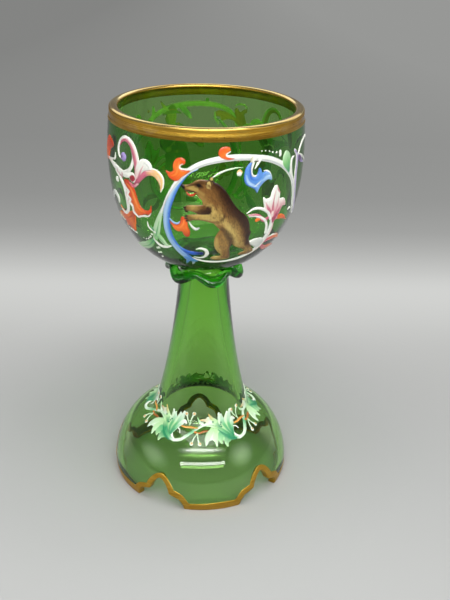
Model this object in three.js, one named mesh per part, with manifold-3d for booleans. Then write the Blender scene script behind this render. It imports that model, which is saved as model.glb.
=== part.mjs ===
// A green hock glass: a blown bowl on a hollow stem and domed foot, a crimped glass trail round their
// joint, gilding on the lip and on the scalloped edge of the foot, and raised enamel scrollwork.
// Millimetres. +Z is up and the origin is the middle of the ring that the glass stands on.
// Angles are degrees round the axis: 0 faces -Y, and they grow towards +X.

import * as THREE from "three";
import { mergeVertices } from "three/addons/utils/BufferGeometryUtils.js";
import Module from "manifold-3d";

// Bowl: it stands on the stem, rounds out to its belly, and draws in a little to its lip
const BOWL_BASE_HEIGHT = 90.4;
const BELLY_RISE = 45.6;
const BELLY_RADIUS = 35;
const BELLY_WALL = 2.8;
const BOWL_FLOOR = 4;
const BOWL_FULLNESS = 2.4;
const LIP_RISE = 14;
const LIP_DRAW_IN = 0.9;
const LIP_WALL = 2;

// Stem, hollow and open below
const STEM_TOP_RADIUS = 9.1;
const STEM_TOP_WALL = 5;
const STEM_WAIST_RADIUS = 11.3;
const STEM_WAIST_HEIGHT = 55;
const STEM_FOOT_RADIUS = 18.6;
const CREASE_HEIGHT = 29.5;
const CREASE_WALL = 2.4;
const CREASE_DEPTH = 3.9;

// Foot, blown as wide as the bowl
const FOOT_RADIUS = BELLY_RADIUS;
const FOOT_WALL = 2.7;
const FOOT_FULLEST_HEIGHT = 4.5;
const FOOT_TUCK = 1;
const DOME_CENTRE_RADIUS = 16;
const DOME_FULLNESS = 1.87;

// The five arches cut out of the foot's edge, where a hand put them
const ARCH_ANGLES = [-27.2, 43.9, 114.3, 182.4, 257.4];
const ARCH_HALF_WIDTH = 10.2;
const ARCH_SLANT_WIDTH = 1.9;
const ARCH_SLANT_HEIGHT = 4.7;
const ARCH_STEP_HEIGHT = 6.4;
const ARCH_THROAT_HALF_WIDTH = 4.1;
const ARCH_TOP_HEIGHT = 12;
const ARCH_TOP_FULLNESS = 1.5;

// The crimped trail under the bowl
const TRAIL_RADIUS = 12.9;
const TRAIL_THICKNESS = 3.2;
const TRAIL_LOBES = 6;
const TRAIL_FIRST_LOBE = 16;
const TRAIL_DROP = 2.8;
const TRAIL_FLARE = 1.4;
const TRAIL_LEAN = 0.9;

// Gilding and enamel
const LIP_GILDING_DEPTH = 4.2;
const FOOT_GILDING_WIDTH = 2.8;
const GILDING_THICKNESS = 0.3;
const ENAMEL_THICKNESS = 0.4;
const SCROLL_WIDTH = 1.3;

// The garland round the crease between stem and foot: a vine that waves outwards and back. The stops
// of one full wave are the angle from its outermost point and the share of the wave's depth.
const FULL_WAVE = 60;
const GARLAND_WIDTH = 1.3;
const GARLAND_WAVES = 6;
const GARLAND_START = -24;
const WAVE_STOPS = [[0, 1], [10, 0.6], [16, 0.3], [24, 0.12], [33, 0.16], [42, 0.5], [51, 0.85]];
const WAVE_DEPTH = 7.5;
const GARLAND_REACH = 20;
const HIGH_LEAF_LENGTH = 7.5;
const HIGH_LEAF_WIDTH = 7;
const HIGH_LEAF_TURN = -3;
const HIGH_LEAF_DROP = 3.6;
const LOW_LEAF_LENGTH = 8.5;
const LOW_LEAF_WIDTH = 5;
const LOW_LEAF_TURN = -12;
const LOW_LEAF_DROP = 7.4;

// Clear gaps: glass to glass where pieces are fused, and glass to what is fired on it
const FUSED_GAP = 0.3;
const SKIN_GAP = 0.12;

// Facets
const ROUND = 34;
const DEGREE = Math.PI / 180;

const wasm = await Module();
wasm.setup();

const materials = {
  glass: new THREE.MeshStandardMaterial({ color: 0x5f9a45, roughness: 0.05, opacity: 0.6, transparent: true }),
  trail: new THREE.MeshStandardMaterial({ color: 0x2f7d17, roughness: 0.05 }),
  gold: new THREE.MeshStandardMaterial({ color: 0xb8862d, roughness: 0.3, metalness: 1 }),
  white: new THREE.MeshStandardMaterial({ color: 0xe9efe4, roughness: 0.35 }),
  mint: new THREE.MeshStandardMaterial({ color: 0xc3dcc0, roughness: 0.35 }),
  blue: new THREE.MeshStandardMaterial({ color: 0x3f74cc, roughness: 0.35 }),
  pink: new THREE.MeshStandardMaterial({ color: 0xd98aa0, roughness: 0.35 }),
  orange: new THREE.MeshStandardMaterial({ color: 0xd9552a, roughness: 0.35 }),
  brown: new THREE.MeshStandardMaterial({ color: 0x8a6238, roughness: 0.5 }),
  coat: new THREE.MeshStandardMaterial({ color: 0x2c5348, roughness: 0.5 }),
};

// A point at a radius and a height in a profile
function at(radius, height) {
  return new THREE.Vector2(radius, height);
}

// Quarter of a superellipse: share 0 is its widest point and 1 its tip
function quarter(halfWidth, halfHeight, fullness, share) {
  const turn = (share * Math.PI) / 2;
  const across = Math.cos(turn) ** (2 / fullness);
  const along = Math.sin(turn) ** (2 / fullness);
  return at(halfWidth * across, halfHeight * along);
}

// Evenly spaced shares from 0 to 1
function shares(steps) {
  return Array.from({ length: steps + 1 }, (_, i) => i / steps);
}

function manifoldOf(geometry) {
  const bare = geometry.clone();
  for (const name of ["normal", "uv"]) bare.deleteAttribute(name);
  const merged = mergeVertices(bare, 1e-5);
  const vertProperties = new Float32Array(merged.attributes.position.array);
  const triVerts = new Uint32Array(merged.index.array);
  return new wasm.Manifold(new wasm.Mesh({ numProp: 3, vertProperties, triVerts }));
}

function geometryOf(solid) {
  const { vertProperties, triVerts } = solid.getMesh();
  const geometry = new THREE.BufferGeometry();
  geometry.setAttribute("position", new THREE.BufferAttribute(vertProperties, 3));
  geometry.setIndex(new THREE.BufferAttribute(triVerts, 1));
  geometry.computeVertexNormals();
  return geometry;
}

// A profile turned round the Z axis. It runs anticlockwise, with the radius to the right.
function turned(profile) {
  return new THREE.LatheGeometry(profile, ROUND).rotateX(Math.PI / 2);
}

function closed(profile) {
  return [...profile, profile[0].clone()];
}

// A profile moved off itself along its own outward side
function offset(profile, distance) {
  return profile.map((point, i) => {
    const before = profile[Math.max(i - 1, 0)];
    const after = profile[Math.min(i + 1, profile.length - 1)];
    const way = after.clone().sub(before).normalize();
    return at(point.x + way.y * distance, point.y - way.x * distance);
  });
}

// Bowl profiles, from the bottom up
const bellyHeight = BOWL_BASE_HEIGHT + BELLY_RISE;
const lipHeight = bellyHeight + LIP_RISE;
const lipRadius = BELLY_RADIUS - LIP_DRAW_IN;

function bowlSide(radius, depth, rimRadius, steps) {
  const side = shares(steps).map((share) => quarter(radius, depth, BOWL_FULLNESS, 1 - share));
  const round = side.map((point) => at(point.x, bellyHeight - point.y));
  round[0].x = 0;
  const neck = shares(3).slice(1);
  return [...round, ...neck.map((share) => neckPoint(radius, rimRadius, share))];
}

// Between belly and lip the bowl draws in a little
const noseHeight = lipHeight - LIP_WALL / 2;

function neckPoint(radius, rimRadius, share) {
  const height = bellyHeight + (noseHeight - bellyHeight) * share;
  return at(radius + (rimRadius - radius) * share ** 2, height);
}

const bowlOuter = bowlSide(BELLY_RADIUS, BELLY_RISE, lipRadius, 12);
const bowlInner = bowlSide(BELLY_RADIUS - BELLY_WALL, BELLY_RISE - BOWL_FLOOR, lipRadius - LIP_WALL, 9);

// The lip's rounded nose, from outside to inside
function lipNose(grow, fromTurn, toTurn, steps) {
  const middle = lipRadius - LIP_WALL / 2;
  const radius = LIP_WALL / 2 + grow;
  return shares(steps).map((share) => {
    const turn = (fromTurn + (toTurn - fromTurn) * share) * DEGREE;
    return at(middle + radius * Math.cos(turn), noseHeight + radius * Math.sin(turn));
  });
}

function bowl() {
  const nose = lipNose(0, 36, 144, 3);
  return turned([...bowlOuter, ...nose, ...bowlInner.slice().reverse()]);
}

// Foot and stem profiles, from the base up
const domeHeight = CREASE_HEIGHT - FOOT_FULLEST_HEIGHT;

function domeSide(radius, height, fromRadius, steps) {
  const halfWidth = radius - DOME_CENTRE_RADIUS;
  const stop = (fromRadius - DOME_CENTRE_RADIUS) / halfWidth;
  const last = Math.acos(Math.max(stop, 0) ** (DOME_FULLNESS / 2)) / (Math.PI / 2);
  return shares(steps).map((share) => {
    const point = quarter(halfWidth, height, DOME_FULLNESS, share * last);
    return at(DOME_CENTRE_RADIUS + point.x, FOOT_FULLEST_HEIGHT + point.y);
  });
}

function tuck(radius, steps) {
  return shares(steps)
    .slice(0, -1)
    .map((share) => at(radius - FOOT_TUCK * (1 - share) ** 2, FOOT_FULLEST_HEIGHT * share));
}

function stemSide(bottom, waist, top, steps) {
  const curve = new THREE.QuadraticBezierCurve(bottom, waist, top);
  return curve.getPoints(steps);
}

const stemTop = BOWL_BASE_HEIGHT - FUSED_GAP;
const dome = [...tuck(FOOT_RADIUS, 2), ...domeSide(FOOT_RADIUS, domeHeight, STEM_FOOT_RADIUS, 8)];
const creaseTop = dome[dome.length - 1].y;
const stem = stemSide(
  at(STEM_FOOT_RADIUS, creaseTop),
  at(STEM_WAIST_RADIUS, STEM_WAIST_HEIGHT),
  at(STEM_TOP_RADIUS, stemTop),
  7,
);
const innerRadius = FOOT_RADIUS - FOOT_WALL;
const boreFoot = at(STEM_FOOT_RADIUS - CREASE_WALL, CREASE_HEIGHT - CREASE_DEPTH);
const innerDome = [
  ...tuck(innerRadius, 2),
  ...domeSide(innerRadius, boreFoot.y - FOOT_FULLEST_HEIGHT, boreFoot.x, 5).slice(0, -1),
];
const bore = stemSide(
  boreFoot,
  at(STEM_WAIST_RADIUS - STEM_TOP_WALL, STEM_WAIST_HEIGHT + CREASE_DEPTH),
  at(STEM_TOP_RADIUS - STEM_TOP_WALL, stemTop),
  6,
);

// Outline of an arch, grown by a margin, with its foot a little under the base
function archShape(margin) {
  const under = -2;
  const foot = ARCH_HALF_WIDTH + margin;
  const slant = foot - ARCH_SLANT_WIDTH;
  const throat = ARCH_THROAT_HALF_WIDTH + margin;
  const spring = ARCH_STEP_HEIGHT + margin;
  const rise = ARCH_TOP_HEIGHT + margin - spring;
  const side = shares(3).map((share) => quarter(throat, rise, ARCH_TOP_FULLNESS, share));
  const shape = new THREE.Shape();
  shape.moveTo(-foot, under);
  shape.lineTo(foot, under);
  shape.lineTo(foot, 0);
  shape.lineTo(slant, ARCH_SLANT_HEIGHT + margin);
  for (const point of side) shape.lineTo(point.x, spring + point.y);
  for (const point of side.slice(0, -1).reverse()) shape.lineTo(-point.x, spring + point.y);
  shape.lineTo(-slant, ARCH_SLANT_HEIGHT + margin);
  shape.lineTo(-foot, 0);
  shape.closePath();
  return shape;
}

// Arches as bars that run outwards through the foot's wall
function archBars(margin) {
  const start = FOOT_RADIUS / 2;
  const options = { depth: FOOT_RADIUS, bevelEnabled: false };
  const bar = new THREE.ExtrudeGeometry(archShape(margin), options);
  bar.rotateX(Math.PI / 2).translate(0, -start, 0);
  return ARCH_ANGLES.map((angle) => manifoldOf(bar.clone().rotateZ(angle * DEGREE)));
}

function stemAndFoot() {
  const profile = [...dome, ...stem.slice(1), ...bore.slice().reverse(), ...innerDome.slice().reverse()];
  const blown = manifoldOf(turned(closed(profile)));
  return geometryOf(archBars(0).reduce((solid, bar) => solid.subtract(bar), blown));
}

// The trail's crests lie against the underside of the bowl
function undersideHeight(radius) {
  const past = bowlOuter.findIndex((point) => point.x > radius);
  const [inner, outer] = [bowlOuter[past - 1], bowlOuter[past]];
  return inner.y + ((radius - inner.x) / (outer.x - inner.x)) * (outer.y - inner.y);
}

function crimpedTrail() {
  const crestInside = TRAIL_RADIUS - TRAIL_FLARE / 2 - TRAIL_THICKNESS / 4;
  const crest = undersideHeight(crestInside) - TRAIL_THICKNESS / 2 - FUSED_GAP;
  const points = shares(TRAIL_LOBES * 10)
    .slice(0, -1)
    .map((share) => {
      const turn = share * 2 * Math.PI;
      const lobe = Math.cos(TRAIL_LOBES * (turn - TRAIL_FIRST_LOBE * DEGREE));
      const lean = (TRAIL_LEAN / 2) * Math.cos(turn - TRAIL_FIRST_LOBE * DEGREE);
      const radius = TRAIL_RADIUS + (TRAIL_FLARE / 2) * lobe;
      const height = crest - (TRAIL_DROP / 2) * (1 + lobe) - lean;
      return new THREE.Vector3(radius * Math.sin(turn), -radius * Math.cos(turn), height);
    });
  const sides = 6;
  const ring = new THREE.CatmullRomCurve3(points, true);
  const geometry = new THREE.BufferGeometry();
  const places = [];
  const faces = [];
  points.forEach((point, i) => {
    const way = ring.getTangent(i / points.length);
    const outward = new THREE.Vector3(point.x, point.y, 0).normalize();
    const upward = new THREE.Vector3().crossVectors(outward, way).normalize();
    outward.crossVectors(way, upward);
    for (let side = 0; side < sides; side++) {
      const turn = (side / sides) * 2 * Math.PI;
      const place = point.clone();
      place.addScaledVector(outward, (TRAIL_THICKNESS / 2) * Math.cos(turn));
      place.addScaledVector(upward, (TRAIL_THICKNESS / 2) * Math.sin(turn));
      places.push(place.x, place.y, place.z);
      const here = i * sides + side;
      const beside = i * sides + ((side + 1) % sides);
      const next = (here + sides) % (points.length * sides);
      const nextBeside = (beside + sides) % (points.length * sides);
      faces.push(here, next, beside, beside, next, nextBeside);
    }
  });
  geometry.setAttribute("position", new THREE.Float32BufferAttribute(places, 3));
  geometry.setIndex(faces);
  geometry.computeVertexNormals();
  return geometry;
}

// Gilding on the lip: a thin skin from the band's lower edge, over the nose and just inside
const bandHeight = lipHeight - LIP_GILDING_DEPTH;
const bandShare = (bandHeight - bellyHeight) / (noseHeight - bellyHeight);
const bandEdge = neckPoint(BELLY_RADIUS, lipRadius, bandShare);

function lipGilding() {
  const skin = (lift) => [at(bandEdge.x + lift, bandEdge.y), ...lipNose(lift, 0, 160, 4)];
  return turned(closed([...skin(SKIN_GAP + GILDING_THICKNESS), ...skin(SKIN_GAP).reverse()]));
}

// Gilding on the foot: a strip that follows the scalloped edge
function footGilding() {
  const top = dome.findIndex((point) => point.y > ARCH_TOP_HEIGHT + FOOT_GILDING_WIDTH);
  const low = dome.slice(0, top + 1);
  const skin = [...offset(low, SKIN_GAP + GILDING_THICKNESS), ...offset(low, SKIN_GAP).reverse()];
  const shell = manifoldOf(turned(closed(skin))).trimByPlane([0, 0, 1], GILDING_THICKNESS);
  const hem = new THREE.CylinderGeometry(2 * FOOT_RADIUS, 2 * FOOT_RADIUS, FOOT_GILDING_WIDTH, ROUND);
  hem.rotateX(Math.PI / 2).translate(0, 0, FOOT_GILDING_WIDTH / 2);
  const near = archBars(FOOT_GILDING_WIDTH).reduce((solid, bar) => solid.add(bar), manifoldOf(hem));
  const strip = archBars(0).reduce((solid, bar) => solid.subtract(bar), shell.intersect(near));
  return geometryOf(strip);
}

// The decorated surfaces, as curves that are measured along their length
const bowlSideBelowBand = bowlOuter.filter((point) => point.y < bandHeight && point.x > TRAIL_RADIUS);
const bowlField = new THREE.SplineCurve([...bowlSideBelowBand, bandEdge].reverse());

// A place on the bowl: down is the percentage of the way from the gilt band to the bowl's underside
function onBowl(angle, down, lift) {
  const share = THREE.MathUtils.clamp(down / 100, 0, 1);
  return placed(bowlField.getPointAt(share), bowlField.getTangentAt(share).negate(), angle, lift);
}

// A place at the foot of the stem: out is in millimetres from the crease, negative up the stem
const stemCurve = new THREE.SplineCurve(stem);
const domeCurve = new THREE.SplineCurve(dome.slice().reverse());

function onFoot(angle, out, lift) {
  const curve = out < 0 ? stemCurve : domeCurve;
  const share = Math.min(Math.abs(out) / curve.getLength(), 1);
  const way = curve.getTangentAt(share);
  if (out > 0) way.negate();
  return placed(curve.getPointAt(share), way, angle, lift);
}

// The point of a profile turned to an angle and lifted off the surface, where way climbs the profile
function placed(point, way, angle, lift) {
  const radius = point.x + way.y * lift;
  const height = point.y - way.x * lift;
  const turn = angle * DEGREE;
  return new THREE.Vector3(radius * Math.sin(turn), -radius * Math.cos(turn), height);
}

// A raised line of enamel. Each stop is an angle, a place along the profile and a share of the width.
// A line with a turn of 360 closes on itself.
function brushed(surface, stops, width, steps, turn = 0) {
  const path = new THREE.CatmullRomCurve3(stops.map((stop) => new THREE.Vector3(...stop)));
  const places = [];
  const faces = [];
  const put = (point) => places.push(point.x, point.y, point.z);
  const step = 0.01;
  const stations = turn ? shares(steps).slice(0, -1) : shares(steps);
  stations.forEach((share) => {
    const stop = path.getPoint(share);
    const from = path.getPoint(Math.max(share - step, 0));
    const to = path.getPoint(Math.min(share + step, 1));
    const way = surface(to.x, to.y, 0).sub(surface(from.x, from.y, 0)).normalize();
    const foot = surface(stop.x, stop.y, SKIN_GAP);
    const top = surface(stop.x, stop.y, SKIN_GAP + ENAMEL_THICKNESS);
    const outward = top.clone().sub(foot).normalize();
    const across = new THREE.Vector3().crossVectors(outward, way).multiplyScalar((width * stop.z) / 2);
    const edgeLift = outward.clone().multiplyScalar(ENAMEL_THICKNESS / 4);
    put(foot.clone().add(across).add(edgeLift));
    put(top);
    put(foot.clone().sub(across).add(edgeLift));
    put(foot);
  });
  const count = stations.length * 4;
  for (let i = 0; i < steps; i++)
    for (let side = 0; side < 4; side++) {
      const here = i * 4 + side;
      const beside = i * 4 + ((side + 1) % 4);
      const next = (here + 4) % count;
      const nextBeside = (beside + 4) % count;
      faces.push(here, beside, next, beside, nextBeside, next);
    }
  const last = count - 4;
  if (!turn) faces.push(0, 3, 1, 1, 3, 2, last, last + 1, last + 3, last + 1, last + 2, last + 3);
  const geometry = new THREE.BufferGeometry();
  geometry.setAttribute("position", new THREE.Float32BufferAttribute(places, 3));
  geometry.setIndex(faces);
  return manifoldOf(geometry);
}

// The layer that enamel fills, over the whole of a profile
function layer(profile) {
  const skin = [...offset(profile, SKIN_GAP + ENAMEL_THICKNESS), ...offset(profile, SKIN_GAP).reverse()];
  return manifoldOf(turned(closed(skin)));
}

const bowlLayer = layer(bowlOuter.filter((point) => point.x > TRAIL_RADIUS));
const stemLayer = layer(stem.filter((point) => point.y < CREASE_HEIGHT + GARLAND_REACH));
const domeLayer = layer(dome.filter((point) => point.y > CREASE_HEIGHT - GARLAND_REACH));
const footLayer = stemLayer.add(domeLayer);

// A flat outline turned by a tilt, sized, stood on a surface and pressed through the enamel layer
function stencilled(surface, enamelLayer, angle, down, tilt, shape, size) {
  const reach = BELLY_RADIUS / 6;
  const options = { depth: 2 * reach, bevelEnabled: false, curveSegments: 3 };
  const bar = new THREE.ExtrudeGeometry(shape, options).rotateZ(tilt * DEGREE).translate(0, 0, -reach);
  bar.scale(size.x, size.y, 1);
  const origin = surface(angle, down, 0);
  const outward = surface(angle, down, 1).sub(origin).normalize();
  const aside = new THREE.Vector3(Math.cos(angle * DEGREE), Math.sin(angle * DEGREE), 0);
  const upward = new THREE.Vector3().crossVectors(outward, aside);
  bar.applyMatrix4(new THREE.Matrix4().makeBasis(aside, upward, outward).setPosition(origin));
  return enamelLayer.intersect(manifoldOf(bar));
}

// An acanthus leaf along +X: on each side a few lobes, with full backs and points swept forward.
// The lobes swell to the leaf's width a third of the way up and shrink to its tip.
const LOBE_BACK = 0.4;
const LOBE_SWEEP = 0.12;
const NOTCH_DEPTH = 0.5;

function leafShape(length, width, lobes) {
  const point = (side, place, reach) => {
    const swell = Math.sin(Math.PI * (0.15 + 0.75 * Math.min(place, 1)) ** 0.85);
    return at(length * Math.min(place, 0.97), (side * reach * swell * width) / 2);
  };
  const edge = (side) =>
    shares(lobes)
      .slice(0, -1)
      .flatMap((root, i) => [
        point(side, root + LOBE_BACK / lobes, 0.9),
        point(side, root + (1 + LOBE_SWEEP) / lobes, 1),
        ...(i < lobes - 1 ? [point(side, root + (1 - LOBE_SWEEP) / lobes, NOTCH_DEPTH)] : []),
      ]);
  return new THREE.Shape([at(0, 0), ...edge(-1), at(length, 0), ...edge(1).reverse()]);
}

// A rounded outline through a few points
function rounded(points) {
  const loop = new THREE.CatmullRomCurve3(
    points.map(([x, y]) => new THREE.Vector3(x, y, 0)),
    true,
  );
  return new THREE.Shape(loop.getPoints(Math.round(1.6 * points.length)).slice(0, -1).map((p) => at(p.x, p.y)));
}

// A bear on its hind legs, leaning forward, with its snout and paws towards -X
function bearShape() {
  return rounded([
    [-24, 21], [-19, 25], [-10, 28], [-6, 25], [1, 18], [7, 10], [13, 3],
    [16, -5], [18, -13], [19, -20], [15, -23], [9, -23], [9, -17], [4, -11],
    [2, -15], [1, -22], [-7, -24], [-4, -18], [-8, -11], [-6, -4], [-9, 1],
    [-16, 1], [-22, 3], [-17, 7], [-23, 11], [-15, 13], [-14, 16], [-20, 18],
  ]);
}

// A standing hunter: hat, coat, breeches and boots, with one arm held out
function hunterShape() {
  return rounded([
    [4, 33], [9, 33], [12, 28], [9.5, 26], [8.5, 21], [12, 18], [14, 8], [11, 0],
    [12, -5], [9.5, -12], [12, -24], [5, -25], [4, -9], [2, -9], [0, -25], [-7, -24],
    [-3, -12], [-5, -5], [-3, 4], [-13, 6], [-14, 11], [-3, 15], [3.5, 20.5], [3, 26], [1.5, 28],
  ]);
}

const glass = new THREE.Group();

function add(parent, name, geometry, material) {
  const mesh = new THREE.Mesh(geometry, material);
  mesh.name = name;
  parent.add(mesh);
}

add(glass, "bowl", bowl(), materials.glass);
add(glass, "stem_and_foot", stemAndFoot(), materials.glass);
add(glass, "collar_trail", crimpedTrail(), materials.trail);
add(glass, "lip_gilding", lipGilding(), materials.gold);
add(glass, "foot_gilding", footGilding(), materials.gold);

// The bowl's outlines are drawn in steps of a degree across and a percentage of the field down
const bowlStep = at(BELLY_RADIUS * DEGREE, bowlField.getLength() / 100);

// One half of the bowl's enamel: a scroll that frames a figure, and the sprays beside it
function halfOfBowl(side, figure) {
  const half = new THREE.Group();
  const line = (name, material, width, steps, stops) =>
    add(half, side + name, geometryOf(brushed(onBowl, stops, width, steps)), material);
  const leaf = (name, material, angle, down, tilt, shape) =>
    add(
      half,
      side + name,
      geometryOf(stencilled(onBowl, bowlLayer, angle, down, tilt, shape, bowlStep)),
      material,
    );

  line("scroll_vine", materials.white, SCROLL_WIDTH, 22, [
    [-37, 56, 1.3], [-26, 38, 1], [-15, 20, 1], [-5, 13.5, 1], [17, 8, 1], [42, 13.5, 1],
    [54, 22, 1], [63, 32, 1], [71, 48, 0.6],
  ]);
  line("inner_vine", materials.blue, SCROLL_WIDTH, 14, [
    [-11, 18.5, 0.5], [-17, 26, 0.9], [-21, 38, 1.2], [-21.5, 48, 1.3], [-19, 60, 1.3], [-11, 69, 1],
  ]);
  leaf("blue_leaf", materials.blue, ...figure.leaf);
  leaf("orange_leaf_high", materials.orange, -17, 15.5, 165, leafShape(10, 8, 2));
  leaf("orange_leaf_low", materials.orange, -16.5, 49, 20, leafShape(8, 8, 2));
  leaf("pink_acanthus", materials.pink, 46, 52, 84, leafShape(26, 19, 4));
  line("pink_stem", materials.pink, SCROLL_WIDTH, 12, [
    [46, 55, 1.2], [43, 63, 1], [36, 73.5, 0.9], [17, 79, 0.7], [0, 77, 0.5],
  ]);
  leaf(figure.name, figure.material, figure.angle, figure.down, 0, figure.shape);
  line("side_vine", materials.white, SCROLL_WIDTH, 12, [
    [-68, 22, 0.8], [-59, 25, 1], [-52.5, 33, 1], [-49, 42, 1], [-44, 48, 1.4],
  ]);
  leaf("side_flower", materials.pink, -49, 21, -4, leafShape(21, 18, 3));
  leaf("side_leaf", materials.orange, -57, 55, -60, leafShape(11, 10, 2));
  leaf("low_acanthus", materials.mint, -35, 61, -125, leafShape(19, 16, 3));
  return half;
}

// Each figure has a leaf beside its head, under the scroll: an angle, a place down, a tilt and a shape
const bear = { name: "bear", shape: bearShape(), angle: 13, down: 46, material: materials.brown };
bear.leaf = [27, 16, -70, leafShape(16, 13, 3)];
const hunter = { name: "hunter", shape: hunterShape(), angle: 17, down: 46, material: materials.coat };
hunter.leaf = [15.5, 11.5, -135, leafShape(9.5, 7, 3)];
const front = halfOfBowl("front_", bear);
const back = halfOfBowl("back_", hunter);
back.rotation.z = Math.PI;
glass.add(front, back);

// The garland: its vine, and in each wave a leaf above it and one below
const waveAngle = 360 / GARLAND_WAVES;
const waves = Array.from({ length: GARLAND_WAVES }, (_, i) => GARLAND_START + waveAngle * i);
const waveSpan = waveAngle / FULL_WAVE;
const oneWave = (start) =>
  WAVE_STOPS.map(([angle, share]) => [start + angle * waveSpan, share * WAVE_DEPTH, 1]);
const vineStops = waves.flatMap(oneWave);
vineStops.push([vineStops[0][0] + 360, vineStops[0][1], 1]);
const highLeaf = leafShape(HIGH_LEAF_LENGTH, HIGH_LEAF_WIDTH, 2);
const lowLeaf = leafShape(LOW_LEAF_LENGTH, LOW_LEAF_WIDTH, 2);
const realSize = at(1, 1);

add(glass, "garland_vine", geometryOf(brushed(onFoot, vineStops, GARLAND_WIDTH, 60, 360)), materials.mint);
waves.forEach((start, i) => {
  const highAngle = start + HIGH_LEAF_TURN * waveSpan;
  const lowAngle = start + LOW_LEAF_TURN * waveSpan;
  const high = stencilled(onFoot, footLayer, highAngle, HIGH_LEAF_DROP, 96, highLeaf, realSize);
  const low = stencilled(onFoot, domeLayer, lowAngle, LOW_LEAF_DROP, 184, lowLeaf, realSize);
  add(glass, `garland_leaf_high_${i + 1}`, geometryOf(high), materials.mint);
  add(glass, `garland_leaf_low_${i + 1}`, geometryOf(low), materials.mint);
});

export default glass;
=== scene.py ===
"""A green hock glass with gilded edges and raised enamels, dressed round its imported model."""

import math

import bpy
import numpy as np
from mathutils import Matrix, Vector


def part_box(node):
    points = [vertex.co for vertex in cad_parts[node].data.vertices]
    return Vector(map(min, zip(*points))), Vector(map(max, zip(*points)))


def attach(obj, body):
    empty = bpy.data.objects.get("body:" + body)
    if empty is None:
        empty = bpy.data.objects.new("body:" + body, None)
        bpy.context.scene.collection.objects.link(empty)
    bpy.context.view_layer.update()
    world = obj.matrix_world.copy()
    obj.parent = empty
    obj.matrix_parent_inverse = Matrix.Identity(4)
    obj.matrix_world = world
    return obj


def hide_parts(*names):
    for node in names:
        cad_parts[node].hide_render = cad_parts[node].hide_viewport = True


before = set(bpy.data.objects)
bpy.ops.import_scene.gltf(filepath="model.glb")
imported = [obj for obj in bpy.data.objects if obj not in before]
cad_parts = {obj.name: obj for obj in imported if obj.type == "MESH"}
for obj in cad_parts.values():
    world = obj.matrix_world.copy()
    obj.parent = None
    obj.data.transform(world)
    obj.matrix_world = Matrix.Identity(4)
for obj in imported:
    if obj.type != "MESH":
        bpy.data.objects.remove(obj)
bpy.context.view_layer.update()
bpy.ops.object.select_all(action="DESELECT")

# The camera stands in front of the glass and looks down on it a little; it is also turned and tilted
# slightly.
# Its long side takes 600 of the picture's 450 by 600 points.
scene = bpy.context.scene
CAMERA_PLACE = Vector((0.0, -0.31373, 0.22362))
CAMERA_LENS = 53.97
CAMERA_PITCH = math.radians(25.48)
CAMERA_YAW = math.radians(1.5227)
CAMERA_ROLL = math.radians(1.6875)

bpy.ops.object.camera_add(location=CAMERA_PLACE)
camera = bpy.context.object
camera.name = "camera"
camera.data.lens = CAMERA_LENS
camera.data.sensor_width = 36
camera.data.clip_start = 0.01
ahead = Vector(
    (
        math.sin(CAMERA_YAW) * math.cos(CAMERA_PITCH),
        math.cos(CAMERA_YAW) * math.cos(CAMERA_PITCH),
        -math.sin(CAMERA_PITCH),
    )
)
camera.rotation_euler = ahead.to_track_quat("-Z", "Y").to_euler()
camera.rotation_euler.rotate_axis("Z", CAMERA_ROLL)
scene.camera = camera
scene.view_settings.view_transform = "Standard"

# Soft daylight from above and two long strip lamps in front, which show as bars on the foot. Weak
# panels stand at the sides, and one behind lights the lip. The air round the glass is a plain pale grey.
world = bpy.data.worlds.new("pale room")
scene.world = world
world.use_nodes = True
world.node_tree.nodes["Background"].inputs["Color"].default_value = (0.9, 0.92, 0.95, 1)
world.node_tree.nodes["Background"].inputs["Strength"].default_value = 0.25
LAMP_TARGET = Vector((0, 0, 0.06))


def lamp(name, azimuth, elevation, distance, width, height, power):
    """An area lamp that looks at the middle of the glass. Azimuth 0 is the camera's side."""
    turn, tilt = math.radians(azimuth), math.radians(elevation)
    way = Vector((math.sin(turn) * math.cos(tilt), -math.cos(turn) * math.cos(tilt), math.sin(tilt)))
    bpy.ops.object.light_add(type="AREA", location=LAMP_TARGET + way * distance)
    light = bpy.context.object
    light.name = name
    light.data.shape = "RECTANGLE"
    light.data.size = width
    light.data.size_y = height
    light.data.energy = power
    light.rotation_euler = (-way).to_track_quat("-Z", "Y").to_euler()
    return light


lamp("overhead softbox", 20, 78, 1.2, 1.0, 1.0, 11.5)
for distance, width, height, power in ((1.0, 1.2, 0.26, 1.6), (1.01, 0.95, 0.17, 1.4),
                                       (1.02, 0.8, 0.09, 2.2)):
    lamp("upper strip", 2, 47, distance, width, height, power).data.shape = "ELLIPSE"
lamp("lower strip", 3, 23, 1.0, 1.12, 0.09, 4.8)
for distance, size in ((1.0, 0.85), (1.01, 0.66), (1.02, 0.48), (1.03, 0.3)):
    lamp("left glow", -68, 14, distance, size, size * 0.6, size**2 * 0.8).data.shape = "ELLIPSE"
    lamp("right glow", 62, 22, distance, size * 0.8, size * 0.8, size**2 * 1.2).data.shape = "ELLIPSE"
lamp("back light", 175, 34, 1.3, 1.8, 0.5, 3.0)

# The table is one sheet of pale grey paper. It is lit by the lamps near the glass, and further back it
# shades from light to dark grey, as the sheet in the photograph does. The glass mirrors the dark
# room in front of it.
FLOOR_SIZE = 12
LIT_SHARE = 0.65
PAPER_FRONT = -0.1
PAPER_BACK = 0.5
LEAN_REACH = 0.25
LEAN = 0.15
DARK_FRONT = (-0.28, -0.1)
DARK_FRONT_SHARE = 0.15
LAMPLIT_REACH = (0.07, 0.15)
# Painted light and shade on the paper, by depth: a little darker round the glass, brightest in a band behind
# it, and dark grey further back.
GREYS = [
    (-0.085, 0.60),
    (-0.05, 0.57),
    (0.0, 0.53),
    (0.06, 0.50),
    (0.10, 0.53),
    (0.13, 0.58),
    (0.172, 0.66),
    (0.2, 0.56),
    (0.235, 0.43),
    (0.27, 0.35),
    (0.34, 0.29),
    (0.48, 0.27),
]


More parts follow.
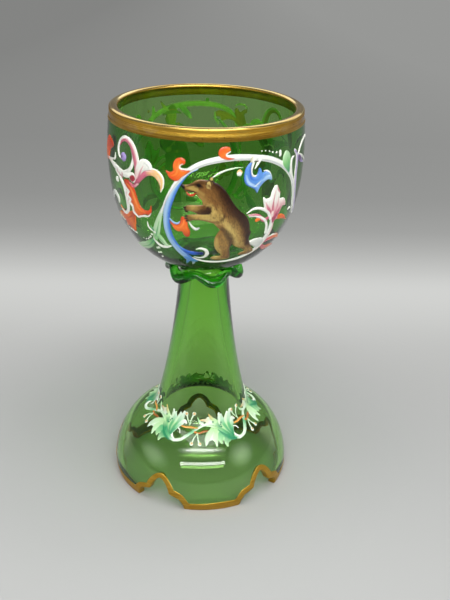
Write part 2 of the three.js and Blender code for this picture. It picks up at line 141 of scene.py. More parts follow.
def add_node(tree, kind, inputs, **settings):
    """A shader node with its settings and its inputs, each a value or another node's output."""
    node = tree.nodes.new("ShaderNode" + kind)
    for key, value in settings.items():
        setattr(node, key, value)
    for key, value in inputs.items():
        if isinstance(value, bpy.types.NodeSocket):
            tree.links.new(value, node.inputs[key])
        else:
            node.inputs[key].default_value = value
    return node


def ramp(tree, factor, stops):
    """A colour that runs through stops, each a place on the factor from 0 to 1 and a colour."""
    node = add_node(tree, "ValToRGB", {"Fac": factor})
    while len(node.color_ramp.elements) < len(stops):
        node.color_ramp.elements.new(0.5)
    for element, (place, colour) in zip(node.color_ramp.elements, stops):
        element.position = place
        element.color = (*colour, 1)
    return node.outputs["Color"]


bpy.ops.mesh.primitive_plane_add(size=FLOOR_SIZE)
floor = bpy.context.object
floor.name = "paper_floor"
paper = bpy.data.materials.new("pale grey paper")
paper.use_nodes = True
tree = paper.node_tree
bsdf = tree.nodes["Principled BSDF"]
bsdf.inputs["Roughness"].default_value = 0.9
bsdf.inputs["Specular IOR Level"].default_value = 0.1
place = add_node(tree, "TexCoord", {}).outputs["Object"]
sides = add_node(tree, "SeparateXYZ", {"Vector": place}).outputs
depth = sides["Y"]
# Painted light: the paper's glow is a little lighter on one side and darker on the other, more so away from
# the glass.
corner = add_node(tree, "Math", {0: sides["X"], 1: depth}, operation="MULTIPLY").outputs[0]
lean_ends = {"From Min": -LEAN_REACH, "From Max": LEAN_REACH, "To Min": 1 - LEAN, "To Max": 1 + LEAN}
lean = add_node(tree, "MapRange", {"Value": corner, **lean_ends})
sheet_ends = {"From Min": PAPER_FRONT, "From Max": PAPER_BACK}
along = add_node(tree, "MapRange", {"Value": depth, **sheet_ends}).outputs[0]
spread = PAPER_BACK - PAPER_FRONT
shade = ramp(tree, along, [((at - PAPER_FRONT) / spread, (grey, grey * 1.01, grey * 0.985))
                           for at, grey in GREYS])
shade.node.color_ramp.interpolation = "B_SPLINE"
dim = add_node(tree, "Mix", {"Factor": 1.0, 6: shade, 7: (LIT_SHARE,) * 3 + (1,)}, data_type="RGBA",
               blend_type="MULTIPLY")
tree.links.new(dim.outputs[2], bsdf.inputs["Base Color"])
rays = add_node(tree, "LightPath", {}).outputs
front_ends = {"From Min": DARK_FRONT[0], "From Max": DARK_FRONT[1], "To Min": DARK_FRONT_SHARE, "To Max": 1.0}
front = add_node(tree, "MapRange", {"Value": depth, **front_ends})
mirrored = add_node(tree, "Mix", {"Factor": rays["Is Glossy Ray"], 2: 1.0, 3: front.outputs[0]},
                    data_type="FLOAT")
strength = add_node(tree, "Math", {0: mirrored.outputs[0], 1: lean.outputs[0]},
                    operation="MULTIPLY").outputs[0]
glow = add_node(tree, "Emission", {"Color": shade, "Strength": strength}).outputs[0]
seen = add_node(tree, "Math", {0: rays["Is Camera Ray"], 1: rays["Is Transmission Ray"]}, operation="MAXIMUM")
shown = add_node(tree, "Math", {0: seen.outputs[0], 1: rays["Is Glossy Ray"]}, operation="MAXIMUM")
away = add_node(tree, "VectorMath", {0: place}, operation="LENGTH").outputs["Value"]
far_ends = {"From Min": LAMPLIT_REACH[0], "From Max": LAMPLIT_REACH[1]}
far = add_node(tree, "MapRange", {"Value": away, **far_ends}, interpolation_type="SMOOTHSTEP")
share = add_node(tree, "Math", {0: far.outputs[0], 1: shown.outputs[0]}, operation="MULTIPLY").outputs[0]
blend = add_node(tree, "MixShader", {"Fac": share, 1: bsdf.outputs["BSDF"], 2: glow})
tree.links.new(blend.outputs[0], tree.nodes["Material Output"].inputs["Surface"])
floor.data.materials.append(paper)

# The bowl is blown in yellow-green glass. Its side is a full curve from the stem up to the belly, and it
# draws in a little to a rounded lip. Sizes are in millimetres, as on every piece below.
MM = 0.001
BOWL_BASE_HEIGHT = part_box("bowl")[0].z / MM
BELLY_RISE = 45.6
BELLY_HEIGHT = BOWL_BASE_HEIGHT + BELLY_RISE
BELLY_RADIUS = 35
BELLY_WALL = 2.8
BOWL_FLOOR = 4
BOWL_FULLNESS = 2.4
LIP_HEIGHT = BELLY_HEIGHT + 14
LIP_RADIUS = 34.1
LIP_WALL = 2.8
NOSE_RISE = 0.65
NOSE_HEIGHT = LIP_HEIGHT - NOSE_RISE


def curve_points(half_width, half_height, fullness, start, stop, steps):
    """Points of a superellipse's quarter between two shares of it: 0 is its widest point and 1 its tip."""
    turns = np.linspace(start, stop, steps + 1) * math.pi / 2
    return [
        (half_width * abs(math.cos(t)) ** (2 / fullness), half_height * math.sin(t) ** (2 / fullness))
        for t in turns
    ]


def bowl_side(radius, depth, rim_radius):
    """A side of the bowl from its pole up to the lip's nose."""
    round_part = [(r, BELLY_HEIGHT - z) for r, z in curve_points(radius, depth, BOWL_FULLNESS, 1, 0, 70)]
    round_part[0] = (0, BELLY_HEIGHT - depth)
    shares = np.linspace(0, 1, 13)[1:]
    rise = NOSE_HEIGHT - BELLY_HEIGHT
    return round_part + [(radius + (rim_radius - radius) * s**2, BELLY_HEIGHT + rise * s) for s in shares]


def spun(name, outline, steps=192):
    """A closed outline of radius and height, spun round the glass's axis."""
    bpy.ops.object.select_all(action="DESELECT")
    bpy.ops.mesh.primitive_circle_add(vertices=len(outline), radius=BELLY_RADIUS * MM)
    piece = bpy.context.object
    piece.name = piece.data.name = name
    for vertex, (radius, height) in zip(piece.data.vertices, outline):
        vertex.co = (0, -radius * MM, height * MM)
    bpy.ops.object.mode_set(mode="EDIT")
    bpy.ops.mesh.select_all(action="SELECT")
    bpy.ops.mesh.spin(steps=steps, angle=2 * math.pi, center=(0, 0, 0), axis=(0, 0, 1))
    bpy.ops.mesh.select_all(action="SELECT")
    bpy.ops.mesh.remove_doubles(threshold=1e-6)
    bpy.ops.mesh.delete_loose(use_verts=True, use_edges=True, use_faces=False)
    bpy.ops.mesh.select_all(action="SELECT")
    bpy.ops.mesh.normals_make_consistent(inside=False)
    bpy.ops.object.mode_set(mode="OBJECT")
    bpy.ops.object.shade_smooth()
    return piece


def green_glass(name, clearness, density, shadow):
    """Glass that is greener where it is deeper, with green shadows and a faintly waved skin."""
    glass = bpy.data.materials.new(name)
    glass.use_nodes = True
    tree = glass.node_tree
    shader = tree.nodes["Principled BSDF"]
    shader.inputs["Base Color"].default_value = (1, 1, 1, 1)
    shader.inputs["Roughness"].default_value = 0.0
    shader.inputs["IOR"].default_value = 1.5
    shader.inputs["Transmission Weight"].default_value = 1.0
    place = add_node(tree, "TexCoord", {})
    waves = add_node(tree, "TexNoise", {"Vector": place.outputs["Object"], "Scale": 90, "Detail": 1})
    ripple = add_node(tree, "Bump", {"Height": waves.outputs["Fac"], "Strength": 0.5, "Distance": 0.0001})
    tree.links.new(ripple.outputs["Normal"], shader.inputs["Normal"])
    rays = add_node(tree, "LightPath", {})
    through = add_node(tree, "BsdfTransparent", {"Color": (*shadow, 1)})
    shadow_ray = rays.outputs["Is Shadow Ray"]
    blend = add_node(tree, "MixShader", {"Fac": shadow_ray, 1: shader.outputs[0], 2: through.outputs[0]})
    depth = add_node(tree, "VolumeAbsorption", {"Color": (*clearness, 1), "Density": density})
    tree.links.new(blend.outputs[0], tree.nodes["Material Output"].inputs["Surface"])
    tree.links.new(depth.outputs[0], tree.nodes["Material Output"].inputs["Volume"])
    return glass


outer_side = bowl_side(BELLY_RADIUS, BELLY_RISE, LIP_RADIUS)
inner_side = bowl_side(BELLY_RADIUS - BELLY_WALL, BELLY_RISE - BOWL_FLOOR, LIP_RADIUS - LIP_WALL)


def lip_nose(grow, from_turn, to_turn, steps):
    """The lip's rounded nose, from outside to inside, grown by a skin's lift."""
    middle = LIP_RADIUS - LIP_WALL / 2
    across, up = LIP_WALL / 2 + grow, NOSE_RISE + grow
    turns = np.radians(np.linspace(from_turn, to_turn, steps + 1))
    return [(middle + across * math.cos(t), NOSE_HEIGHT + up * math.sin(t)) for t in turns]


bowl = spun("blown_bowl", outer_side + lip_nose(0, 10, 170, 16) + inner_side[::-1])
bowl_glass = green_glass("bowl glass", clearness=(0.385, 0.75, 0.04), density=520, shadow=(0.92, 0.95, 0.88))
bowl.data.materials.append(bowl_glass)
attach(bowl, "root")
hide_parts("bowl")

# Stem and foot are blown in one and left hollow. The stem flares into a crease, the domed foot rounds out
# from it, and five arches are cut out of its edge and fire-polished.
FOOT_RADIUS = BELLY_RADIUS
FOOT_WALL = 2.7
FOOT_FULLEST_HEIGHT = 4.5
FOOT_TUCK = 1
DOME_CENTRE_RADIUS = 16
DOME_FULLNESS = 1.87
STEM_FOOT_RADIUS = 18.6
STEM_WAIST = (11.3, 55)
STEM_TOP_RADIUS = 9.1
STEM_TOP_WALL = 5
STEM_TOP_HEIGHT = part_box("stem_and_foot")[1].z / MM
CREASE_HEIGHT = 29.5
CREASE_WALL = 2.4
CREASE_DEPTH = 3.9
ARCH_ANGLES = (-27.2, 43.9, 114.3, 182.4, 257.4)
ARCH_HALF_WIDTH = 10.2
ARCH_SLANT_WIDTH = 1.9
ARCH_SLANT_HEIGHT = 4.7
ARCH_STEP_HEIGHT = 6.4
ARCH_THROAT_HALF_WIDTH = 4.1
ARCH_TOP_HEIGHT = 12
ARCH_TOP_FULLNESS = 1.5
EDGE_ROUNDING = 0.5
BASE_LIFT = 0.12


def bezier(start, middle, end, steps):
    """Points of a curve with one control point."""
    shares = np.linspace(0, 1, steps + 1)[:, None]
    a, b, c = (np.array(p) for p in (start, middle, end))
    return (1 - shares) ** 2 * a + 2 * shares * (1 - shares) * b + shares**2 * c


def foot_side(radius, height, from_radius):
    """A side of the foot from the base up to the crease."""
    tuck = [(radius - FOOT_TUCK * (1 - s) ** 2, FOOT_FULLEST_HEIGHT * s) for s in np.linspace(0, 1, 9)[:-1]]
    half = radius - DOME_CENTRE_RADIUS
    last = math.acos(((from_radius - DOME_CENTRE_RADIUS) / half) ** (DOME_FULLNESS / 2)) / (math.pi / 2)
    dome = curve_points(half, height - FOOT_FULLEST_HEIGHT, DOME_FULLNESS, 0, last, 44)
    return tuck + [(DOME_CENTRE_RADIUS + r, FOOT_FULLEST_HEIGHT + z) for r, z in dome]


outer_dome = foot_side(FOOT_RADIUS, CREASE_HEIGHT, STEM_FOOT_RADIUS)
crease = outer_dome[-1]
stem_side = bezier(crease, STEM_WAIST, (STEM_TOP_RADIUS, STEM_TOP_HEIGHT), 40)
bore_foot = (STEM_FOOT_RADIUS - CREASE_WALL, CREASE_HEIGHT - CREASE_DEPTH)
inner_dome = foot_side(FOOT_RADIUS - FOOT_WALL, bore_foot[1], bore_foot[0])
bore_waist = (STEM_WAIST[0] - STEM_TOP_WALL, STEM_WAIST[1] + CREASE_DEPTH)
bore_side = bezier(bore_foot, bore_waist, (STEM_TOP_RADIUS - STEM_TOP_WALL, STEM_TOP_HEIGHT), 36)


def eased(line, corner, reach):
    """A line whose corner is rounded over a reach to each side."""
    line = np.array(line)
    apart = np.linalg.norm(line - corner, axis=1)
    at = int(np.argmin(apart))
    first = max(i for i in range(at) if apart[i] >= reach)
    last = min(i for i in range(at, len(line)) if apart[i] >= reach)
    return np.vstack([line[:first], bezier(line[first], corner, line[last], 12), line[last + 1 :]])


outer_foot = eased(outer_dome + [tuple(p) for p in stem_side[1:]], crease, 1.4)
inner_foot = eased(inner_dome + [tuple(p) for p in bore_side[1:]], bore_foot, 4)


def arch_outline():
    """Half an arch from its foot to its top, as distance from its middle and height, with eased corners."""
    slant = (ARCH_HALF_WIDTH - ARCH_SLANT_WIDTH, ARCH_SLANT_HEIGHT)
    bulge = (ARCH_HALF_WIDTH - ARCH_SLANT_WIDTH * 0.24, ARCH_SLANT_HEIGHT * 0.53)
    corners = [(ARCH_HALF_WIDTH + 1.6, 0), (ARCH_HALF_WIDTH, 0), bulge, slant]
    rise = ARCH_TOP_HEIGHT - ARCH_STEP_HEIGHT
    side = curve_points(ARCH_THROAT_HALF_WIDTH, rise, ARCH_TOP_FULLNESS, 0, 1, 14)
    top = [(across, ARCH_STEP_HEIGHT + up) for across, up in side]
    points = np.array(corners + top)
    lengths = np.r_[0, np.cumsum(np.linalg.norm(np.diff(points, axis=0), axis=1))]
    dense = np.linspace(0, lengths[-1], 241)
    line = np.c_[np.interp(dense, lengths, points[:, 0]), np.interp(dense, lengths, points[:, 1])]
    spread = 5
    window = np.hanning(2 * spread + 3)[1:-1]
    window /= window.sum()
    mirrored = line[::-1][1:] * (-1, 1)
    padded = np.vstack([np.repeat(line[:1], spread, axis=0), line, mirrored[:spread]])
    eased = np.c_[np.convolve(padded[:, 0], window, "valid"), np.convolve(padded[:, 1], window, "valid")]
    eased[-1, 0] = 0
    return eased[::6]


def foot_edge():
    """The foot's whole scalloped edge, as angle in degrees and height, once round."""
    half = arch_outline()
    reach = math.degrees(math.asin(half[0, 0] / (FOOT_RADIUS - FOOT_TUCK)))
    edge = []
    for index, middle in enumerate(ARCH_ANGLES):
        across = np.degrees(np.arcsin(half[:, 0] / (FOOT_RADIUS - FOOT_TUCK / 2)))
        left = [(middle - a, z) for a, z in zip(across, half[:, 1])]
        right = [(middle + a, z) for a, z in zip(across[::-1][1:], half[::-1][1:, 1])]
        edge += left + right
        following = (*ARCH_ANGLES, ARCH_ANGLES[0] + 360)[index + 1]
        start, stop = middle + reach, following - reach
        steps = max(int((stop - start) / 2), 2)
        edge += [(a, 0) for a in np.linspace(start, stop, steps + 1)[1:-1]]
    return np.array(edge)


def around(angle, radius, height):
    """The place of a point at an angle round the axis: 0 faces the camera, and it grows to the right."""
    turn = np.radians(angle)
    return np.stack([radius * np.sin(turn), -radius * np.cos(turn), np.broadcast_to(height, np.shape(turn))],
                    -1) * MM


def wall_column(side, bottom):
    """One side's points from a bottom height up, closer together near it."""
    heights = side[:, 1]
    blend_height = ARCH_TOP_HEIGHT + 3
    keep = heights > blend_height
    shares = np.linspace(0, 1, 15)[:-1]
    low = bottom + (blend_height - bottom) * shares**1.3
    radii = np.interp(low, heights, side[:, 0])
    return np.vstack([np.c_[radii, low], [[np.interp(blend_height, heights, side[:, 0]), blend_height]],
                      side[keep]])


edge = foot_edge()
edge[:, 1] = np.maximum(edge[:, 1], BASE_LIFT)
columns = []
for angle, height in edge:
    outside = wall_column(outer_foot, height + EDGE_ROUNDING)
    inside = wall_column(inner_foot, height + EDGE_ROUNDING)
    inset = EDGE_ROUNDING * 0.3
    toe = [(inside[0, 0] + inset, height + inset), (inside[0, 0] + EDGE_ROUNDING, height)]
    heel = [(outside[0, 0] - EDGE_ROUNDING, height), (outside[0, 0] - inset, height + inset)]
    ring = np.vstack([inside[::-1], toe, heel, outside])
    columns.append(around(np.full(len(ring), angle), ring[:, 0], ring[:, 1]))
columns = np.array(columns)


def skinned(name, grid, close_rows=False):
    """A mesh over a grid of points that closes round the axis, with its columns joined top to top."""
    count, rows = grid.shape[:2]
    piece = bpy.data.objects.new(name, bpy.data.meshes.new(name))
    scene.collection.objects.link(piece)
    faces = []
    last = rows if close_rows else rows - 1
    for i in range(count):
        j = (i + 1) % count
        for k in range(last):
            up = (k + 1) % rows
            faces.append((i * rows + k, i * rows + up, j * rows + up, j * rows + k))
    piece.data.from_pydata(grid.reshape(-1, 3).tolist(), [], faces)
    bpy.ops.object.select_all(action="DESELECT")
    piece.select_set(True)
    bpy.context.view_layer.objects.active = piece
    bpy.ops.object.mode_set(mode="EDIT")
    bpy.ops.mesh.select_all(action="SELECT")
    bpy.ops.mesh.normals_make_consistent(inside=False)
    bpy.ops.object.mode_set(mode="OBJECT")
    bpy.ops.object.shade_smooth()
    return piece


foot = skinned("stem_and_domed_foot", columns, close_rows=True)
foot_glass = green_glass("stem glass", clearness=(0.42, 0.8, 0.0), density=270, shadow=(0.32, 0.44, 0.22))
foot.data.materials.append(foot_glass)
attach(foot, "root")
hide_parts("stem_and_foot")

# A trail of deeper green glass is laid round the joint of bowl and stem while hot, and crimped into lobes
# with pincers.
TRAIL_RADIUS = 12.9
TRAIL_THICKNESS = 3.2
TRAIL_LOBES = 6
TRAIL_FIRST_LOBE = 16
TRAIL_DROP = 2.8
TRAIL_FLARE = 1.4
TRAIL_LEAN = 0.9
TRAIL_RISE = -0.4
TRAIL_FILLING = 0.95
turns = np.linspace(0, 360, 289)[:-1]
lobe = np.cos(np.radians(TRAIL_LOBES * (turns - TRAIL_FIRST_LOBE)))
lean = TRAIL_LEAN / 2 * np.cos(np.radians(turns - TRAIL_FIRST_LOBE))
trail_radii = TRAIL_RADIUS + TRAIL_FLARE / 2 * lobe
trail_crest = BOWL_BASE_HEIGHT + TRAIL_RISE
trail_heights = trail_crest - TRAIL_DROP / 2 * (1 + lobe) - lean
trail_line = around(turns, trail_radii, trail_heights) / MM
ahead_of = np.roll(trail_line, -1, axis=0) - np.roll(trail_line, 1, axis=0)
ahead_of /= np.linalg.norm(ahead_of, axis=1)[:, None]
outward = trail_line * (1, 1, 0)
outward /= np.linalg.norm(outward, axis=1)[:, None]
upward = np.cross(outward, ahead_of)
upward /= np.linalg.norm(upward, axis=1)[:, None]
outward = np.cross(ahead_of, upward)
section = np.radians(np.linspace(0, 360, 21)[:-1])
toward_stem = np.maximum(np.cos(section - math.radians(135)), 0) ** 2
reach = TRAIL_THICKNESS / 2 * (1 + TRAIL_FILLING * np.outer((1 + lobe) / 2, toward_stem))
trail_grid = (
    trail_line[:, None]
    + outward[:, None] * (reach * np.cos(section))[..., None]
    + upward[:, None] * (reach * np.sin(section))[..., None]
) * MM
trail = skinned("crimped_trail", trail_grid, close_rows=True)
trail_glass = green_glass("trail glass", clearness=(0.25, 0.8, 0.0), density=950, shadow=(0.4, 0.7, 0.25))
trail.data.materials.append(trail_glass)
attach(trail, "root")
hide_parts("collar_trail")

# Gold is painted on the lip and fired. The nose is burnished smooth and painted a brighter gold as a
# highlight, the band below it keeps its brush marks and is worn in small nicks, and the side that lies on the
# glass is matt.
BAND_HEIGHT = LIP_HEIGHT - 4.2
GILDING_THICKNESS = 0.12
GILDING_SINK = 0.03
band_share = (BAND_HEIGHT - BELLY_HEIGHT) / (NOSE_HEIGHT - BELLY_HEIGHT)
band_radius = BELLY_RADIUS + (LIP_RADIUS - BELLY_RADIUS) * band_share**2


def lip_skin(lift):
    """The gilded stretch of the lip's outline, lifted off the glass."""
    lower = [(band_radius + lift, BAND_HEIGHT), (LIP_RADIUS + lift, (BAND_HEIGHT + NOSE_HEIGHT) / 2)]
    return lower + lip_nose(lift, 0, 180, 28) + [(LIP_RADIUS - LIP_WALL - lift, NOSE_HEIGHT - 0.35)]


def fired_gold(name, roughness, burnish_and_highlight_height, wear):
    """Gold in uneven brushed coats, worn in nicks, burnished smooth and painted brighter as a highlight above
    a height.
    """
    gold = bpy.data.materials.new(name)
    gold.use_nodes = True
    tree = gold.node_tree
    shader = tree.nodes["Principled BSDF"]
    shader.inputs["Metallic"].default_value = 1
    place = add_node(tree, "TexCoord", {}).outputs["Object"]
    drawn = add_node(tree, "Mapping", {"Vector": place, "Scale": (40, 40, 3600)}).outputs[0]
    strokes = add_node(tree, "TexNoise", {"Vector": drawn, "Scale": 1, "Detail": 4}).outputs["Fac"]
    clouds = add_node(tree, "TexNoise", {"Vector": place, "Scale": 260, "Detail": 5}).outputs["Fac"]
    coat = add_node(tree, "Math", {0: clouds, 1: 0.4, 2: strokes}, operation="MULTIPLY_ADD").outputs[0]
    coat = add_node(tree, "MapRange", {"Value": coat, "From Min": 0.5, "From Max": 0.9}).outputs[0]
    brown, yellow, bright = (0.36, 0.185, 0.016), (0.5, 0.29, 0.035), (0.9, 0.7, 0.27)
    worn = ramp(tree, coat, [(0, brown), (0.5, yellow), (1, (0.6, 0.38, 0.065))])
    height = add_node(tree, "SeparateXYZ", {"Vector": place}).outputs["Z"]
    low, high = burnish_and_highlight_height * MM, (burnish_and_highlight_height + 0.5) * MM
    shine = add_node(tree, "MapRange", {"Value": height, "From Min": low, "From Max": high}).outputs[0]
    nicks = add_node(tree, "TexVoronoi", {"Vector": place, "Scale": 420}).outputs["Distance"]
    whole = add_node(tree, "MapRange", {"Value": nicks, "From Min": wear, "From Max": wear + 0.04}).outputs[0]
    mended = ramp(tree, whole, [(0, (0.12, 0.08, 0.01)), (1, (1, 1, 1))])
    # Painted highlight: above the height the gold is painted brighter as well as made smoother.
    burnished_highlight = ramp(tree, strokes, [(0.3, yellow), (0.6, bright)])
    tint = add_node(tree, "Mix", {"Factor": shine, 6: worn, 7: burnished_highlight}, data_type="RGBA").outputs[2]
    tint = add_node(tree, "Mix", {"Factor": 1.0, 6: tint, 7: mended}, data_type="RGBA", blend_type="MULTIPLY")
    tree.links.new(tint.outputs[2], shader.inputs["Base Color"])
    rough = add_node(tree, "MapRange", {"Value": coat, "To Min": roughness + 0.14,
                                        "To Max": roughness - 0.08})
    rough = add_node(tree, "Mix", {"Factor": shine, 2: rough.outputs[0], 3: 0.1}, data_type="FLOAT")
    tree.links.new(rough.outputs[0], shader.inputs["Roughness"])
    bump = add_node(tree, "Bump", {"Height": coat, "Strength": 0.35, "Distance": 0.00004})
    tree.links.new(bump.outputs["Normal"], shader.inputs["Normal"])
    return gold


def gold_underside(piece, core_radius, core_height):
    """Gives a gilding matt gold on the faces that lie against the glass."""
    piece.data.materials.append(matt_gold)
    for face in piece.data.polygons:
        x, y, z = np.array(face.center) / MM
        outward = Vector((x, y, 0)).normalized()
        off = Vector((0, 0, z)) + outward * math.hypot(x, y)
        off -= outward * core_radius + Vector((0, 0, min(z, core_height)))
        if face.normal.dot(off) < 0:
            face.material_index = 1


matt_gold = bpy.data.materials.new("gold against glass")
matt_gold.use_nodes = True
tree = matt_gold.node_tree
shader = tree.nodes["Principled BSDF"]
shader.inputs["Roughness"].default_value = 0.6
place = add_node(tree, "TexCoord", {}).outputs["Object"]
clouds = add_node(tree, "TexNoise", {"Vector": place, "Scale": 120, "Detail": 3}).outputs["Fac"]
coats = ramp(tree, clouds, [(0.35, (0.85, 0.25, 0.015)), (0.65, (1.0, 0.42, 0.04))])
tree.links.new(coats, shader.inputs["Base Color"])

lip_gold = spun("lip_gilding_band", lip_skin(GILDING_THICKNESS) + lip_skin(-GILDING_SINK)[::-1])
lip_gold.data.materials.append(
    fired_gold("lip gold", roughness=0.42, burnish_and_highlight_height=NOSE_HEIGHT + 0.1, wear=0.05)
)
gold_underside(lip_gold, LIP_RADIUS - LIP_WALL / 2, NOSE_HEIGHT)
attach(lip_gold, "root")
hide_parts("lip_gilding")

# On the foot the gold follows the scalloped edge. It is brushed over the cut edge and a brush's width up the
# outside, a little wider along the lobes that the glass stands on.
FOOT_GILDING_WIDTH = 2.4
LOBE_GILDING_EXTRA = 1.3
GILDING_COLUMNS = 620

line = np.c_[np.radians(edge[:, 0]) * FOOT_RADIUS, edge[:, 1]]
round_once = np.array((2 * math.pi * FOOT_RADIUS, 0))
line = np.vstack([line, line[:1] + round_once])
lengths = np.r_[0, np.cumsum(np.linalg.norm(np.diff(line, axis=0), axis=1))]
even = np.linspace(0, lengths[-1], GILDING_COLUMNS + 1)[:-1]
line = np.c_[np.interp(even, lengths, line[:, 0]), np.interp(even, lengths, line[:, 1])]


def softened(rows, spread):
    """Values round the foot's edge, each averaged with its neighbours."""
    padded = np.vstack([rows[-spread:], rows, rows[:spread]])
    window = np.hanning(2 * spread + 3)[1:-1]
    return np.stack([np.convolve(column, window / window.sum(), "valid") for column in padded.T], -1)


heading = np.roll(line, -1, axis=0) - np.roll(line, 1, axis=0)
heading[0] += round_once
heading[-1] += round_once
normal = np.c_[-heading[:, 1], heading[:, 0]]
normal = softened(normal / np.linalg.norm(normal, axis=1)[:, None], 5)
normal /= np.linalg.norm(normal, axis=1)[:, None]
drift = softened(np.random.default_rng(5).normal(0, 1, (GILDING_COLUMNS, 1)), 14)[:, 0]
lobe_share = np.clip(1 - line[:, 1] / 2.5, 0, 1)
widths = FOOT_GILDING_WIDTH + LOBE_GILDING_EXTRA * softened(lobe_share[:, None], 8)[:, 0] + 0.9 * drift


def ribbon(off, side, lift, inset=None):
    """One line of the gilding, off the edge by a distance, on a side of the foot or inset into its wall."""
    flat = line + normal * np.reshape(off, (-1, 1))
    flat[:, 1] = np.maximum(flat[:, 1], 0.02)
    radius = np.interp(flat[:, 1], side[:, 1], side[:, 0]) + lift
    if inset is not None:
        radius = np.interp(line[:, 1] + EDGE_ROUNDING, side[:, 1], side[:, 0]) + inset
    turn = flat[:, 0] / FOOT_RADIUS
    return np.stack([radius * np.sin(turn), -radius * np.cos(turn), flat[:, 1]], -1) * MM


skin, sink = GILDING_THICKNESS, GILDING_SINK
rows = [ribbon(0.9, inner_foot, -0.02), ribbon(0.45, inner_foot, -skin), ribbon(0.05, inner_foot, 0, 0.05)]
rows += [ribbon(-skin, inner_foot, 0, 0.5), ribbon(-skin, outer_foot, 0, -0.5),
         ribbon(-skin / 2, outer_foot, 0, -0.12)]
rows += [ribbon(0.12, outer_foot, 0, skin * 0.8), ribbon(0.5, outer_foot, skin)]
rows += [ribbon(0.5 + (widths - 0.5) * share, outer_foot, skin) for share in (0.2, 0.4, 0.6, 0.8, 0.95)]
rows += [ribbon(widths + 0.05, outer_foot, skin / 3), ribbon(widths + 0.05, outer_foot, -sink)]
rows += [ribbon(0.6 + (widths - 0.6) * share, outer_foot, -sink) for share in (0.75, 0.5, 0.25)]
rows += [ribbon(0.6, outer_foot, 0, -0.6), ribbon(0.6, inner_foot, 0, 0.6), ribbon(0.9, inner_foot, sink)]
foot_gold = skinned("foot_gilding_edge", np.stack(rows, axis=1), close_rows=True)
foot_gold.data.materials.append(
    fired_gold("foot gold", roughness=0.42, burnish_and_highlight_height=LIP_HEIGHT, wear=0.02)
)
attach(foot_gold, "root")
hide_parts("foot_gilding")

# Raised enamels are laid on the bowl with a full brush and fired. On each half a white scroll frames a
# figure, with a blue inner scroll, leaves and an acanthus spray, and a flower spray stands beside it.
def tone(red, green, blue):
    """A colour as it looks on a screen, from 0 to 255, turned into the light it reflects."""
    shares = np.array((red, green, blue)) / 255
    return np.where(shares > 0.04045, ((shares + 0.055) / 1.055) ** 2.4, shares / 12.92)


def smooth_line(points, closed=False, steps=8):
    """A rounded line through a few points."""
    points = np.array(points, float)
    if closed:
        points = np.vstack([points[-1], points, points[:2]])
    else:
        points = np.vstack([2 * points[0] - points[1], points, 2 * points[-1] - points[-2]])
    shares = np.linspace(0, 1, steps + 1)[:-1, None]
    rounds = []
    for a, b, c, d in zip(points, points[1:], points[2:], points[3:]):
        curve = 2 * b + (c - a) * shares + (2 * a - 5 * b + 4 * c - d) * shares**2
        rounds.append((curve + (3 * b - a - 3 * c + d) * shares**3) / 2)
    line = np.vstack(rounds)
    return line if closed else np.vstack([line, points[-2]])


def between(shares, stops):
    """Values spread evenly over stops, read at shares from 0 to 1."""
    stops = np.array(stops, float).reshape(len(stops), -1)
    marks = np.linspace(0, 1, len(stops))
    values = [np.interp(shares, marks, column) for column in stops.T]
    return values[0] if len(values) == 1 else np.stack(values, -1)


